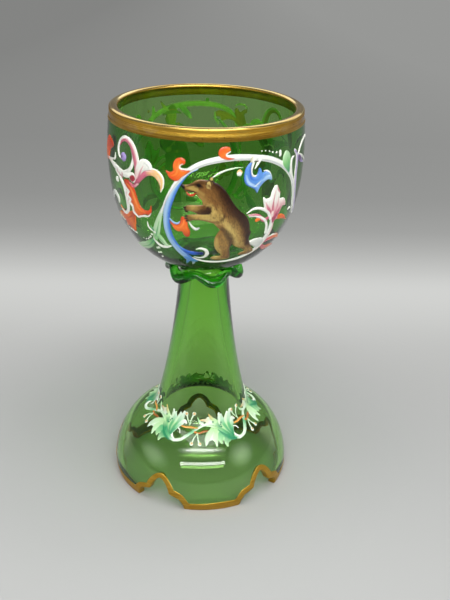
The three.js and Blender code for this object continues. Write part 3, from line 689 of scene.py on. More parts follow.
class Painting:
    """A turned surface laid flat, true to shape, for enamel to be painted on. A place on it is an angle round
    the glass and a mark on its side, and sizes are in millimetres."""

    def __init__(self, side, marks, girth, step):
        self.side, self.marks, self.girth = np.array(side), np.array(marks), girth
        lengths = np.linalg.norm(np.diff(self.side, axis=0), axis=1)
        middles = (self.side[1:, 0] + self.side[:-1, 0]) / 2
        self.flat = np.r_[0, np.cumsum(lengths * girth / middles)]
        self.columns = int(round(2 * math.pi * girth / step))
        self.rows = int(self.flat[-1] / step)
        self.step = 2 * math.pi * girth / self.columns
        shape = (self.columns, self.rows)
        self.depth = np.full(shape, -9.0)
        self.height = np.zeros(shape)
        self.colour = np.zeros((*shape, 3))
        self.owner = np.full(shape, -1)
        self.names = []

    def flatten(self, points, turn=0):
        """Places as points on the flat painting."""
        points = np.array(points, float)
        across = np.radians(points[:, 0] + turn) * self.girth
        return np.c_[across, np.interp(points[:, 1], self.marks, self.flat)]

    def swell(self, flat_points):
        """How many flat units a millimetre takes at flat points."""
        return self.girth / np.interp(flat_points[..., 1], self.flat, self.side[:, 0])

    def window(self, points, margin):
        """The patch of the grid round some flat points, as columns that may pass the seam, and rows."""
        low = np.floor((points.min(axis=0) - margin) / self.step).astype(int)
        high = np.ceil((points.max(axis=0) + margin) / self.step).astype(int)
        columns = np.arange(low[0], high[0] + 1)
        rows = np.arange(max(low[1], 0), min(high[1], self.rows - 1) + 1)
        grid = np.stack(np.meshgrid(columns * self.step, rows * self.step, indexing="ij"), -1)
        return columns, rows, grid

    def lay(self, name, columns, rows, inside, colour, level):
        """Puts a stroke on: inside is each grid point's distance in from its edge."""
        if name not in self.names:
            self.names.append(name)
        patch = np.ix_(columns % self.columns, rows)
        depth, under = self.depth[patch], self.height[patch]
        bare = depth < 0
        share = np.clip(inside / self.step + 0.5, 0, 1)
        share = np.where(bare, (inside > np.maximum(depth, -2.5 * self.step)).astype(float), share)
        self.colour[patch] = self.colour[patch] * (1 - share[..., None]) + colour * share[..., None]
        rise = level * (1 - np.exp(-np.maximum(inside, 0) / 0.28))
        self.height[patch] = np.where(inside > 0, np.maximum(rise, 0.7 * under + 0.35 * rise), under)
        self.owner[patch] = np.where(share > 0.5, self.names.index(name), self.owner[patch])
        self.depth[patch] = np.maximum(depth, inside)

    def trace(self, points, halves):
        """The patch round a line of flat points, as wide as twice its halves. Each of its grid points gets a
        distance in from the edge, the line's half there, a share along it, and a place from -1 on its right
        to 1 on its left."""
        columns, rows, grid = self.window(points, halves.max() + 0.6)
        inside = np.full(grid.shape[:2], -9.0)
        wide, along, aside = np.ones_like(inside), np.zeros_like(inside), np.zeros_like(inside)
        for i, (start, stop) in enumerate(zip(points[:-1], points[1:])):
            reach = max(halves[i], halves[i + 1]) + 0.55
            low = np.minimum(start, stop) - reach
            high = np.maximum(start, stop) + reach
            i0, i1 = np.searchsorted(columns * self.step, (low[0], high[0]))
            j0, j1 = np.searchsorted(rows * self.step, (low[1], high[1]))
            if i1 <= i0 or j1 <= j0:
                continue
            way = stop - start
            length = np.hypot(*way) + 1e-9
            offset = grid[i0:i1, j0:j1] - start
            share = np.clip(offset @ way / length**2, 0, 1)
            half = halves[i] + (halves[i + 1] - halves[i]) * share
            apart = np.linalg.norm(offset - share[..., None] * way, axis=-1)
            turned = (way[0] * offset[..., 1] - way[1] * offset[..., 0]) / length
            left = np.clip(turned / np.maximum(half, 1e-6), -1, 1)
            closer = half - apart > inside[i0:i1, j0:j1]
            measures = (half - apart, half, (i + share) / (len(points) - 1), left)
            for sheet, measure in zip((inside, wide, along, aside), measures):
                sheet[i0:i1, j0:j1][closer] = measure[closer]
        return columns, rows, inside, wide, along, aside

    def brush(self, name, line, widths, tones, across=(), level=0.3, turn=0, streak=0.07):
        """One stroke along a rounded line. The tones run along it, or across it from its left side."""
        points = smooth_line(self.flatten(line, turn))
        halves = between(np.linspace(0, 1, len(points)), widths) / 2 * self.swell(points)
        columns, rows, inside, _, along, aside = self.trace(points, halves)
        colour = between(along, tones)
        if len(across):
            colour = between((1 - aside) / 2, across) * (colour if len(tones) > 1 else 1)
        grain = np.sin(aside * 9 + along * 5) * 0.5 + np.sin(aside * 23 + 2 * np.sin(along * 11)) * 0.5
        colour = colour * (1 + streak * grain)[..., None]
        self.lay(name, columns, rows, inside, colour, level)

    def shade(self, name, line, widths, tones, strength=0.85, turn=0):
        """A soft wash over the strokes of a name. It fades towards its edges and adds no height."""
        points = smooth_line(self.flatten(line, turn))
        halves = between(np.linspace(0, 1, len(points)), widths) / 2 * self.swell(points)
        columns, rows, inside, wide, along, _ = self.trace(points, halves)
        patch = np.ix_(columns % self.columns, rows)
        fade = np.clip(inside / wide * 1.25, 0, 1)
        share = strength * fade**2 * (3 - 2 * fade) * (self.owner[patch] == self.names.index(name))
        self.colour[patch] += (between(along, tones) - self.colour[patch]) * share[..., None]

    def fill(self, name, outline, tones, root, tip, rim=None, rim_width=0.35, level=0.3, turn=0, streak=0.06):
        """A rounded patch. Its tones run from its root to its tip, and a rim may have a tone of its own."""
        points = smooth_line(self.flatten(outline, turn), closed=True, steps=5)
        columns, rows, grid = self.window(points, 0.6)
        apart = np.full(grid.shape[:2], 99.0)
        within = np.zeros(grid.shape[:2], bool)
        for start, stop in zip(points, np.roll(points, -1, axis=0)):
            way = stop - start
            offset = grid - start
            share = np.clip(offset @ way / max(way @ way, 1e-12), 0, 1)
            apart = np.minimum(apart, np.linalg.norm(offset - share[..., None] * way, axis=-1))
            if start[1] != stop[1]:
                crosses = (grid[..., 1] > min(start[1], stop[1])) & (grid[..., 1] <= max(start[1], stop[1]))
                meets = start[0] + (grid[..., 1] - start[1]) * way[0] / way[1]
                within ^= crosses & (grid[..., 0] < meets)
        inside = np.where(within, apart, -apart)
        root, tip = self.flatten([root, tip], turn)
        way = tip - root
        share = np.clip((grid - root) @ way / (way @ way), 0, 1)
        side = (grid - root) @ np.array((-way[1], way[0])) / np.hypot(*way)
        colour = between(share, tones)
        grain = np.sin(side * 6 + 2 * np.sin(share * 5)) * 0.6 + np.sin(side * 15 + share * 9) * 0.4
        colour = colour * (1 + streak * grain)[..., None]
        if rim is not None:
            edge = np.clip(1 - inside / (rim_width * self.swell(points[:1])[0]), 0, 1)[..., None]
            colour = colour * (1 - edge) + np.array(rim) * edge
        self.lay(name, columns, rows, inside, colour, level)

    def dot(self, name, place, size, colour, level=0.3, turn=0, lean=(0.0, 0.0)):
        """A round touch of the brush, a little drawn out where it leans."""
        start = (place[0] - lean[0] / 2, place[1] - lean[1] / 2)
        stop = (place[0] + lean[0] / 2 + 0.01, place[1] + lean[1] / 2)
        self.brush(name, [start, stop], [size], [colour], level=level, turn=turn, streak=0.03)

    def piece(self, name, slot, node, material):
        """Lifts one name's strokes off the flat painting as a closed skin on the glass."""
        index = self.names.index(name)
        depth, owner = self.depth, self.owner
        after = np.roll(np.arange(self.columns), -1)
        corners = [depth[:, :-1], depth[after][:, :-1], depth[after][:, 1:], depth[:, 1:]]
        owners = [owner[:, :-1], owner[after][:, :-1], owner[after][:, 1:], owner[:, 1:]]
        deepest = np.argmax(corners, axis=0)
        held = np.take_along_axis(np.array(owners), deepest[None], axis=0)[0]
        cells = (np.max(corners, axis=0) > 0) & (held == index)
        columns, rows = np.nonzero(cells)
        ids = np.stack([columns * self.rows + rows, after[columns] * self.rows + rows], -1)
        ids = np.c_[ids, ids[:, 1] + 1, ids[:, 0] + 1]
        used, numbered = np.unique(ids, return_inverse=True)
        numbered = numbered.reshape(-1, 4)
        i, j = used // self.rows, used % self.rows
        flat = np.c_[i * self.step, j * self.step]
        slope_u = (depth[(i + 1) % self.columns, j] - depth[i - 1, j]) / (2 * self.step)
        slope_v = depth[i, np.minimum(j + 1, self.rows - 1)] - depth[i, np.maximum(j - 1, 0)]
        slope = np.c_[slope_u, slope_v / (2 * self.step)]
        short = np.maximum(-depth[i, j], 0) / np.maximum(np.sum(slope**2, axis=1), 0.2)
        moved = slope * short[:, None]
        reach = np.linalg.norm(moved, axis=1)
        flat += moved * np.minimum(1, 1.1 * self.step / np.maximum(reach, 1e-9))[:, None]
        angle = flat[:, 0] / self.girth
        radius = np.interp(flat[:, 1], self.flat, self.side[:, 0])
        height = np.interp(flat[:, 1], self.flat, self.side[:, 1])
        ahead_v = flat[:, 1] + 0.3
        rise = np.c_[np.interp(ahead_v, self.flat, self.side[:, 0]) - radius,
                     np.interp(ahead_v, self.flat, self.side[:, 1]) - height]
        rise /= np.linalg.norm(rise, axis=1)[:, None]
        lift = np.where(depth[i, j] > 0, self.height[i, j], 0) + ENAMEL_EDGE

        def skin(off):
            out, up = radius + rise[:, 1] * off, height - rise[:, 0] * off
            return np.c_[out * np.sin(angle), -out * np.cos(angle), up] * MM

        count = len(used)
        edges = np.vstack([numbered[:, [a, b]] for a, b in ((0, 1), (1, 2), (2, 3), (3, 0))])
        keys = edges[:, 0].astype(np.int64) * count + edges[:, 1]
        back_keys = edges[:, 1].astype(np.int64) * count + edges[:, 0]
        rim = edges[~np.isin(keys, back_keys)]
        walls = np.c_[rim[:, 1], rim[:, 0], rim[:, 0] + count, rim[:, 1] + count]
        faces = np.vstack([numbered, numbered[:, ::-1] + count, walls])
        thing = bpy.data.objects.new(f"{node}_enamel", bpy.data.meshes.new(f"{node}_enamel"))
        scene.collection.objects.link(thing)
        places = np.vstack([skin(lift), skin(-GILDING_SINK)])
        thing.data.from_pydata(places.tolist(), [], faces.tolist())
        paint = thing.data.color_attributes.new("paint", "FLOAT_COLOR", "POINT")
        colours = np.clip(self.colour[i, j], 0, 1)
        # The side against the glass is mixed towards a pale pink: a white enamel ground, with painted light
        # that stands in for light shining through the enamel from outside.
        against_glass = colours + (GROUND_AND_BACKLIGHT - colours) * GROUND_AND_BACKLIGHT_SHARE
        paint.data.foreach_set("color", np.c_[np.vstack([colours, against_glass]),
                                              np.ones(2 * count)].ravel())
        thing.data.shade_smooth()
        thing.data.materials.append(material)
        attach(thing, "root")
        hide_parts(node)
        return thing


ENAMEL_EDGE = 0.05
# The enamel's side against the glass is mixed towards a pale pink: partly a white enamel ground, partly
# painted light for what shines through the enamel from outside.
GROUND_AND_BACKLIGHT_SHARE = 0.42
WHITE = tone(226, 227, 217)
GROUND_AND_BACKLIGHT = tone(255, 226, 216)
PALE_GREY = tone(190, 196, 190)
CREAM = tone(222, 214, 190)
SKY = tone(138, 175, 212)
AZURE = tone(84, 134, 200)
COBALT = tone(38, 88, 180)
NAVY = tone(14, 30, 100)
TEAL_BLUE = tone(62, 128, 170)
ROSE = tone(190, 98, 118)
DEEP_ROSE = tone(158, 62, 88)
CRIMSON = tone(150, 34, 48)
BLUSH = tone(216, 172, 172)
LILAC = tone(152, 134, 190)
PURPLE = tone(92, 68, 112)
FLAME = tone(214, 74, 24)
RUST = tone(168, 50, 16)
AMBER = tone(224, 112, 36)
PEACH = tone(222, 178, 118)
MINT = tone(176, 208, 166)
LEAF = tone(118, 182, 108)
TEAL = tone(44, 132, 92)
TAN = tone(176, 146, 92)
FAWN = tone(192, 168, 116)
BARK = tone(134, 92, 52)
UMBER = tone(84, 50, 26)
MAROON = tone(58, 26, 14)
SOOT = tone(24, 18, 16)

bowl_sheet = [point for point in outer_side if point[1] > BOWL_BASE_HEIGHT + 5.5]
bowl_sheet = [point for point in bowl_sheet if point[1] < BAND_HEIGHT]
bowl_paint = Painting(bowl_sheet, [z for _, z in bowl_sheet], BELLY_RADIUS, 0.19)


def paint_front_top(brush, fill, dot):
    """The top of the front scroll, with a grey line brushed along it, its blue leaf and its orange leaf."""
    brush("scroll_vine", [(-25.4, 120.6), (-22.4, 125), (-19, 129), (-15, 132.6), (-10, 135.9), (-4, 138.3),
                          (3, 139.8), (11, 140.6), (19, 140.7), (28, 140.1), (36, 139), (43, 137.2),
                          (49, 134.9), (54, 132.2), (58.4, 128.8), (61.4, 125), (63.6, 121), (66.6, 117.2),
                          (71, 114.4), (78, 112.6)],
          [0.4, 0.8, 1.1, 1.5, 1.7, 1.9, 2.1, 2.2, 2.1, 2.0, 2.1, 2.1, 2.0, 2.0, 1.9, 1.8, 1.5, 1.2, 0.9,
           0.4],
          [WHITE], across=[PALE_GREY, WHITE, WHITE, tone(178, 184, 184), WHITE])
    brush("scroll_vine", [(26, 139.6), (25.4, 137.6), (25, 135.8), (25.9, 134.3), (28, 133.9), (30, 134.8)],
          [2.2, 1.3, 1.0, 0.8, 0.6, 0.25], [WHITE], across=[WHITE, WHITE, tone(168, 160, 118)])
    brush("scroll_vine", [(30, 139.2), (28.4, 137.6), (27.2, 136.4)], [1.4, 0.9, 0.3], [WHITE])
    for place in ((17.4, 139.5), (27, 139), (28.6, 138.9)):
        dot("scroll_vine", place, 0.42, UMBER, lean=(0.5, 0))
    for place, size in (((31.4, 142), 0.45), ((33.8, 141.9), 0.5), ((36.4, 141.5), 0.6), ((38.8, 141), 0.65),
                        ((41.6, 140.6), 0.8)):
        dot("scroll_vine", place, size, WHITE)
    dot("scroll_vine", (44.6, 140), 1.1, WHITE, lean=(0, 1.2))
    brush("scroll_vine", [(4, 134.5), (7, 135.7), (11, 136.7), (16, 137.3), (20, 137.3)],
          [0.3, 0.75, 0.6, 0.5, 0.2], [WHITE, MINT])
    dot("scroll_vine", (18.2, 135.4), 1.9, WHITE, level=0.4)
    brush("scroll_vine", [(17, 135.9), (18.4, 136.4), (19.8, 135.7)], [0.4, 0.7, 0.3], [PEACH])
    fill("scroll_vine", [(6.4, 142.4), (7.4, 143.9), (9.8, 144.5), (12.4, 144.3), (13.2, 143.2),
                         (11.7, 142.5), (10.8, 141.8), (11.8, 141), (15.2, 140.5), (12, 140.1), (8.8, 140.6),
                         (7, 141.3)],
         [FLAME, AMBER, FLAME], (8, 144), (12, 140), rim=RUST)
    brush("scroll_vine", [(12.9, 142.7), (11, 142.1), (11.3, 141.3), (14.6, 140.9)],
          [0.3, 0.45, 0.4, 0.2], [WHITE])
    fill("blue_leaf", [(25.2, 138.7), (23.6, 138.4), (21.8, 137), (20.9, 135), (21, 133), (22.4, 131.3),
                       (25, 130.3), (27.6, 129.4), (29.4, 127.9), (30.8, 129.6), (33, 131), (36, 132),
                       (38.9, 131.5), (38.7, 133.2), (36.8, 134.8), (34, 135.1), (32.2, 134.7), (31.2, 136),
                       (29.8, 136.6), (29.2, 135.2), (28, 133.9), (26, 133.8), (24.9, 135.2), (24.7, 137.2)],
         [AZURE, AZURE, AZURE, SKY], (22.6, 138), (37, 132.6), rim=COBALT, rim_width=0.3, level=0.36)
    brush("blue_leaf", [(22, 134.6), (23.4, 132.2), (26.4, 130.9), (29.4, 130.2)], [0.4, 0.9, 0.9, 0.3],
          [SKY, tone(170, 200, 226), SKY])
    brush("blue_leaf", [(24, 136.2), (25, 133.5), (28.4, 132.6), (31.4, 133.4)],
          [0.4, 0.8, 0.7, 0.3], [COBALT, AZURE])
    brush("blue_leaf", [(27.4, 130.4), (29.6, 131.4), (31.6, 132.4)], [0.3, 0.6, 0.3], [WHITE, SKY])
    brush("blue_leaf", [(32, 132), (34.6, 133), (37, 133.4)], [0.4, 1.2, 0.5], [SKY, tone(170, 200, 226)])
    brush("blue_leaf", [(32.6, 135.3), (35, 135.2), (37.4, 134.2), (38.9, 132.2)],
          [0.2, 0.45, 0.4, 0.2], [WHITE])
    fill("orange_leaf_high", [(-17.2, 138.9), (-15.4, 140.2), (-12.8, 140.5), (-10.8, 139.7), (-11.2, 138.4),
                              (-13, 137.9), (-13.3, 136.8), (-11.4, 136.4), (-8, 136.5), (-10.4, 135.1),
                              (-12.8, 134), (-14.4, 132.9), (-16.8, 132.5), (-19.4, 133.2), (-20.8, 134.4),
                              (-21.8, 135.8), (-19.4, 135.4), (-17.6, 136), (-17.8, 137.4)],
         [FLAME, AMBER, FLAME], (-20, 134), (-11, 140), rim=RUST)
    brush("orange_leaf_high", [(-12.2, 138.5), (-13.7, 137.8), (-13.3, 136.9), (-10.8, 136.8), (-8.2, 137.2)],
          [0.2, 0.45, 0.5, 0.4, 0.2], [WHITE])
    brush("orange_leaf_high", [(-18.6, 134.2), (-15.8, 135), (-14.6, 137.4), (-14, 139.2)],
          [0.3, 0.6, 0.6, 0.2], [AMBER, tone(238, 138, 66)])


def paint_back_top(brush, fill, dot):
    """The top of the back scroll: a flatter arc, a hanging blue leaf and an orange leaf with two lobes."""
    brush("scroll_vine", [(-25.4, 120.6), (-24, 126), (-22, 131), (-19.6, 136), (-16, 139.4), (-10, 141.2),
                          (-3, 142), (5, 142.3), (13, 142.1), (20, 141.6), (27, 140.8), (33, 139.4),
                          (38, 137.6), (44, 135), (51, 131.8), (57, 128), (61, 124), (63.6, 120.6),
                          (66.6, 117.2), (71, 114.4), (78, 112.6)], [0.4, 1.0, 1.4, 1.7, 2.0, 2.1, 2.2, 2.1,
                                                                     2.0, 2.0, 1.9, 1.7, 1.3, 0.9, 0.4],
          [WHITE], across=[PALE_GREY, WHITE, WHITE, tone(178, 184, 184), WHITE])
    brush("scroll_vine", [(1, 141.2), (6, 141.7), (12, 141.8)], [0.3, 0.45, 0.3], [PALE_GREY])
    dot("scroll_vine", (-0.3, 143.8), 1.5, TEAL, level=0.36)
    brush("scroll_vine", [(38, 137.6), (37, 139.8), (37.4, 142.3)], [1.4, 1.6, 0.5], [WHITE, MINT])
    dot("scroll_vine", (41, 140.6), 1.1, RUST)
    brush("blue_leaf", [(17.6, 141.6), (14.5, 139.6), (12, 138), (10.2, 136.4)], [1.8, 2.4, 1.9, 0.5],
          [MINT, TEAL_BLUE, SKY, WHITE], level=0.36)
    brush("blue_leaf", [(15.6, 139.2), (13.4, 138), (11.8, 136.6)], [0.4, 0.8, 0.3],
          [COBALT, AZURE], level=0.4)
    fill("orange_leaf_high", [(-27.6, 134), (-26.5, 136.5), (-25.4, 139), (-27.4, 140), (-27, 141.2),
                              (-24.4, 140.6), (-22.4, 139.8), (-20.4, 141.2), (-18.6, 140.6), (-18.8, 139),
                              (-19.6, 137.2), (-16, 138.6), (-11, 139.6), (-7.6, 139.7), (-5, 138.6),
                              (-5.6, 137.4), (-8.4, 137.2), (-10.4, 135.7), (-14, 136.4), (-18, 136),
                              (-21, 134.4), (-24, 133.4)],
         [RUST, FLAME, AMBER, FLAME], (-26, 134), (-6, 139), rim=RUST, level=0.36)
    brush("orange_leaf_high", [(-24, 135), (-18, 137), (-12, 138), (-7, 138.6)], [0.3, 0.7, 0.7, 0.2],
          [AMBER, tone(238, 138, 66)])
    brush("orange_leaf_high", [(-27.8, 141.4), (-25.6, 142.6), (-22, 142.9), (-19, 142)],
          [0.4, 0.7, 0.7, 0.3], [WHITE])
    brush("orange_leaf_high", [(-5.4, 139), (-5.8, 136.4), (-8, 134.2)], [0.4, 0.8, 0.3], [WHITE])


def paint_half(half, turn, paint_top):
    """The sprays and scrolls of one half of the bowl, in the order that they are painted."""

    def brush(name, *args, **rest):
        bowl_paint.brush(half + name, *args, turn=turn, **rest)

    def fill(name, *args, **rest):
        bowl_paint.fill(half + name, *args, turn=turn, **rest)

    def dot(name, *args, **rest):
        bowl_paint.dot(half + name, *args, turn=turn, **rest)

    # The low acanthus, whose long spine grows into the white scroll
    brush("low_acanthus", [(-33.5, 109.5), (-38, 107), (-45, 104.6), (-55, 102.6), (-70, 100.8)],
          [0.8, 1.8, 3.0, 3.4, 2.6, 0.4], [TEAL, LEAF, MINT, MINT, WHITE])
    brush("low_acanthus", [(-35, 108.4), (-42, 105.2), (-52, 103.2)], [0.3, 0.5, 0.2], [TEAL, LEAF])
    brush("low_acanthus", [(-31, 112), (-28.6, 109.6), (-26.4, 107.6), (-24, 107)], [1.6, 2.2, 1.6, 0.6],
          [LEAF, MINT, MINT])
    brush("low_acanthus", [(-33.4, 109), (-30.6, 113), (-28.4, 116.4), (-26, 119.8), (-23.6, 123.4)],
          [1.6, 2.8, 2.2, 1.4, 0.5], [LEAF, MINT, MINT, PALE_GREY])
    brush("low_acanthus", [(-32, 110.6), (-29.6, 113.6), (-27.4, 117)], [0.3, 0.45, 0.2], [TEAL, LEAF])
    brush("low_acanthus", [(-30.6, 110.6), (-28.4, 109), (-26.6, 107.9)], [0.3, 0.4, 0.2], [TEAL, LEAF])
    brush("low_acanthus", [(-34.6, 109.6), (-32.8, 107.2), (-29.8, 106.3), (-26.2, 106.5), (-22.4, 107.3)],
          [0.5, 1.2, 1.4, 1.2, 0.5], [WHITE])
    brush("low_acanthus", [(-32, 112.2), (-34.6, 112.6), (-36.4, 113.8), (-36.4, 115.6)],
          [0.9, 0.6, 0.7, 0.3], [WHITE])
    brush("low_acanthus", [(-33, 113), (-34.4, 114.2)], [1.0, 0.4], [TEAL, LEAF])
    for place, size in (((-35.4, 110.7), 0.9), ((-37.2, 109.5), 0.8), ((-38.8, 108.7), 0.7),
                        ((-40.4, 108), 0.6), ((-42.6, 107.6), 0.6), ((-45, 107.6), 0.5),
                        ((-33.4, 105.2), 1.0), ((-35.2, 104.8), 0.9), ((-34, 102.9), 0.9),
                        ((-36.2, 102.5), 0.9), ((-35.4, 100.6), 0.8)):
        dot("low_acanthus", place, size, WHITE)

    # The blue inner scroll, its dark branch and its tip
    brush("inner_vine", [(-4, 137), (-9, 135.5), (-13, 133), (-16.4, 129.8), (-19, 126.4), (-21.2, 122.6),
                         (-22.4, 118.6), (-22.6, 114.6), (-21.2, 110.6), (-18.2, 107), (-14.2, 104.2),
                         (-10, 102)],
          [0.2, 0.8, 1.5, 1.9, 2.2, 2.3, 2.4, 2.5, 2.6, 2.7, 2.9, 2.2], [AZURE],
          across=[COBALT, AZURE, SKY, tone(158, 188, 214), SKY])
    brush("inner_vine", [(-17.6, 108.2), (-13, 105.9), (-8, 105.1), (-3, 105.1)], [0.4, 1.7, 1.9, 1.5],
          [AZURE, COBALT, COBALT, NAVY])
    brush("inner_vine", [(-20.4, 110.6), (-16.8, 107), (-12.4, 104.4)], [0.25, 0.5, 0.3], [SKY])
    brush("inner_vine", [(-13, 102.6), (-9.4, 101.7), (-5.6, 101.3)], [2.2, 2.3, 1.0], [AZURE, TEAL_BLUE])
    brush("inner_vine", [(-11.6, 102), (-13, 100.6), (-14.4, 99.4)], [1.4, 1.1, 0.3], [AZURE, TEAL_BLUE])
    brush("inner_vine", [(-8.6, 101.4), (-8.4, 100.2), (-9.4, 99.4)], [1.3, 1.0, 0.3], [TEAL_BLUE, WHITE])
    brush("inner_vine", [(-5.4, 107), (-2.4, 107.5), (0.8, 106.8), (1.8, 105.1), (0.2, 103.6), (-3.4, 103),
                         (-7.4, 103.4)], [0.3, 1.0, 1.3, 1.4, 1.0, 0.6, 0.3], [WHITE, WHITE, PALE_GREY])
    dot("inner_vine", (-2.2, 105.1), 1.7, NAVY, level=0.36)
    for place in ((-20.6, 120.8), (-20.2, 119.9), (-20.8, 119.3)):
        dot("inner_vine", place, 0.5, COBALT)

    # The scroll's top is painted in its own way on each half. Its leaves and its outer branch follow
    paint_top(brush, fill, dot)
    fill("scroll_vine", [(46.6, 136.4), (47.4, 139), (49.6, 140.3), (52.6, 139.4), (54.2, 137.4), (54, 134.8),
                         (53, 132.4), (50.4, 133.6), (48, 135)], [TEAL, LEAF, MINT], (53, 132.6), (49, 140))
    brush("scroll_vine", [(57.4, 130), (55.8, 132.8), (55.2, 135.4), (56.4, 137), (58.4, 137.3)],
          [1.2, 1.2, 1.3, 1.0, 0.3], [WHITE])
    brush("scroll_vine", [(52.8, 133), (51.8, 135.6), (50.6, 138)], [0.5, 0.4, 0.2], [TEAL, LEAF])
    brush("scroll_vine", [(59.6, 117.6), (61.4, 118), (63.4, 117.6)], [0.3, 0.9, 0.5], [WHITE])
    brush("scroll_vine", [(84, 112.4), (77, 113.4), (70.6, 117), (66, 121.4), (63.2, 126), (62, 130.4),
                          (62.4, 134.6), (61.6, 137.6), (59, 139.2)], [0.5, 1.0, 1.3, 1.6, 1.9, 2.0, 1.9,
                                                                       1.5, 1.1],
          [WHITE], across=[WHITE, tone(172, 160, 190), LILAC, WHITE, WHITE])
    brush("scroll_vine", [(64, 136.4), (67, 135.4), (71, 133.8), (77, 132.4)], [1.0, 2.0, 1.4, 0.4],
          [PURPLE, PURPLE, LILAC, WHITE])
    brush("scroll_vine", [(63.6, 137.2), (67, 139.6), (72, 141), (79, 141.4), (84, 140)],
          [0.8, 1.1, 1.2, 1.0, 0.4], [WHITE])
    brush("scroll_vine", [(66.4, 136.8), (71, 135.6), (77, 133.8), (84, 131.4)],
          [0.6, 0.9, 0.8, 0.3], [WHITE])
    dot("scroll_vine", (61.6, 138.5), 0.7, MAROON, lean=(1, -0.3))

    # The small orange leaf low in the scroll
    fill("orange_leaf_low", [(-20.6, 117.8), (-18.6, 117.1), (-16.4, 116.8), (-14.6, 117.4), (-13.9, 118.8),
                             (-13.2, 120.1), (-11.2, 119.8), (-9.9, 118.4), (-9.6, 116.4), (-8.6, 114.6),
                             (-9.2, 112.7), (-11, 112.2), (-12.6, 113), (-13.6, 114.3), (-16, 114.1),
                             (-18.2, 114.9), (-19.4, 116.2)],
         [FLAME, AMBER, RUST], (-14, 119.6), (-11, 112.4), rim=RUST)
    brush("orange_leaf_low", [(-18.6, 116.2), (-14.8, 115.9), (-12.4, 117.4), (-11.8, 119)],
          [0.3, 0.6, 0.7, 0.2], [AMBER, tone(238, 138, 66)])
    brush("orange_leaf_low", [(-20.6, 119), (-18.6, 117.7), (-16, 117.3), (-14.4, 118.2)],
          [0.3, 0.6, 0.6, 0.2], [SKY])
    brush("orange_leaf_low", [(-8.9, 118.2), (-7.4, 116.6), (-5.2, 115.6), (-3.3, 116.1)],
          [0.3, 0.8, 1.1, 0.5], [WHITE, PALE_GREY])

    # The pink acanthus on its stem, which runs on under the figure as a white line
    brush("pink_stem", [(43.4, 118.4), (44.6, 115), (44.8, 111.6), (43.2, 108.2), (40, 105.4), (35.4, 103.4),
                        (29, 102), (21, 101.1), (12, 100.8), (3, 101), (-4.6, 101.9), (-8.4, 102.9)],
          [1.2, 2.2, 2.7, 2.8, 2.4, 1.8, 1.5, 1.2, 1.1, 1.0, 0.8, 0.3], [WHITE],
          across=[DEEP_ROSE, BLUSH, WHITE, WHITE, PALE_GREY])
    fill("pink_stem", [(29.8, 108.9), (33, 109.9), (37, 109.9), (41, 109.2), (42, 107), (38.6, 105.6),
                       (34.6, 106.6)],
         [PALE_GREY, WHITE], (41, 107), (31, 109))
    brush("pink_stem", [(45, 107.4), (51, 108), (57, 107.6), (66, 105.4)], [1.4, 2.6, 2.2, 0.4],
          [ROSE, AMBER, tone(214, 128, 90)])
    brush("pink_stem", [(43.4, 105.6), (49, 103.8), (58, 103.2), (70, 101.6)], [1.2, 2.2, 1.8, 0.4],
          [ROSE, tone(206, 124, 92), BLUSH])
    brush("pink_stem", [(46, 108.6), (51.4, 109.1), (57, 108.4)], [0.3, 0.5, 0.2], [WHITE])
    brush("pink_acanthus", [(46, 116.4), (51, 116.4), (56, 115.5), (61.6, 113.6)], [1.2, 2.1, 1.5, 0.3],
          [RUST, AMBER, FLAME, AMBER])
    fill("pink_acanthus", [(33.8, 125.9), (36.2, 125.2), (38.8, 125.3), (39.6, 127), (41.4, 128.9),
                           (43.6, 129.2), (44.4, 127.2), (46.8, 125.9), (47.2, 124), (50.6, 123.7),
                           (53.2, 122.5), (54.2, 120.3), (51.2, 120.5), (49.6, 118.4), (47.6, 116.4),
                           (45, 114.6), (43, 116), (41.6, 118.2), (38.4, 119.9), (35.6, 122)],
         [DEEP_ROSE, ROSE, BLUSH, WHITE, WHITE], (45, 115.4), (43, 127), rim=WHITE, rim_width=0.5, level=0.36)
    brush("pink_acanthus", [(43.6, 117.6), (42, 121), (41.7, 124), (42.3, 127.6)], [0.6, 0.8, 0.6, 0.2],
          [ROSE, ROSE, BLUSH])
    brush("pink_acanthus", [(45, 117), (47.6, 119.6), (51, 121.4)], [1.0, 1.3, 0.3], [DEEP_ROSE, ROSE, BLUSH])
    brush("pink_acanthus", [(44.4, 119), (45.6, 121.8), (45.2, 125)], [0.4, 0.7, 0.2], [ROSE, BLUSH])
    brush("pink_acanthus", [(41.6, 119.4), (38.4, 121.4), (35.6, 124)], [0.7, 1.0, 0.25], [ROSE, ROSE, BLUSH])
    brush("pink_acanthus", [(43.9, 129), (45, 127.5), (47, 126)], [0.3, 0.6, 0.3], [BLUSH, ROSE])
    brush("pink_acanthus", [(41.4, 118), (37.6, 117), (31.4, 119.4), (25.2, 120.2)], [1.2, 1.6, 1.4, 0.4],
          [DEEP_ROSE, ROSE, ROSE, BLUSH])
    brush("pink_acanthus", [(42.2, 116.8), (39.2, 119.6), (34, 121.7), (28.6, 122.2), (24.2, 120.9)],
          [0.9, 1.0, 1.1, 1.0, 0.3], [WHITE])
    brush("pink_acanthus", [(41.6, 111.4), (40.4, 114.8), (36.6, 117.6), (31, 119.2), (26, 119.4)],
          [1.0, 1.1, 0.9, 0.7, 0.2], [WHITE])
    dot("pink_acanthus", (42.7, 118.7), 1.2, tone(232, 204, 198), lean=(0.4, -1.4), level=0.42)
    dot("pink_acanthus", (32.2, 117.7), 1.5, AMBER, lean=(1.0, 0.1))

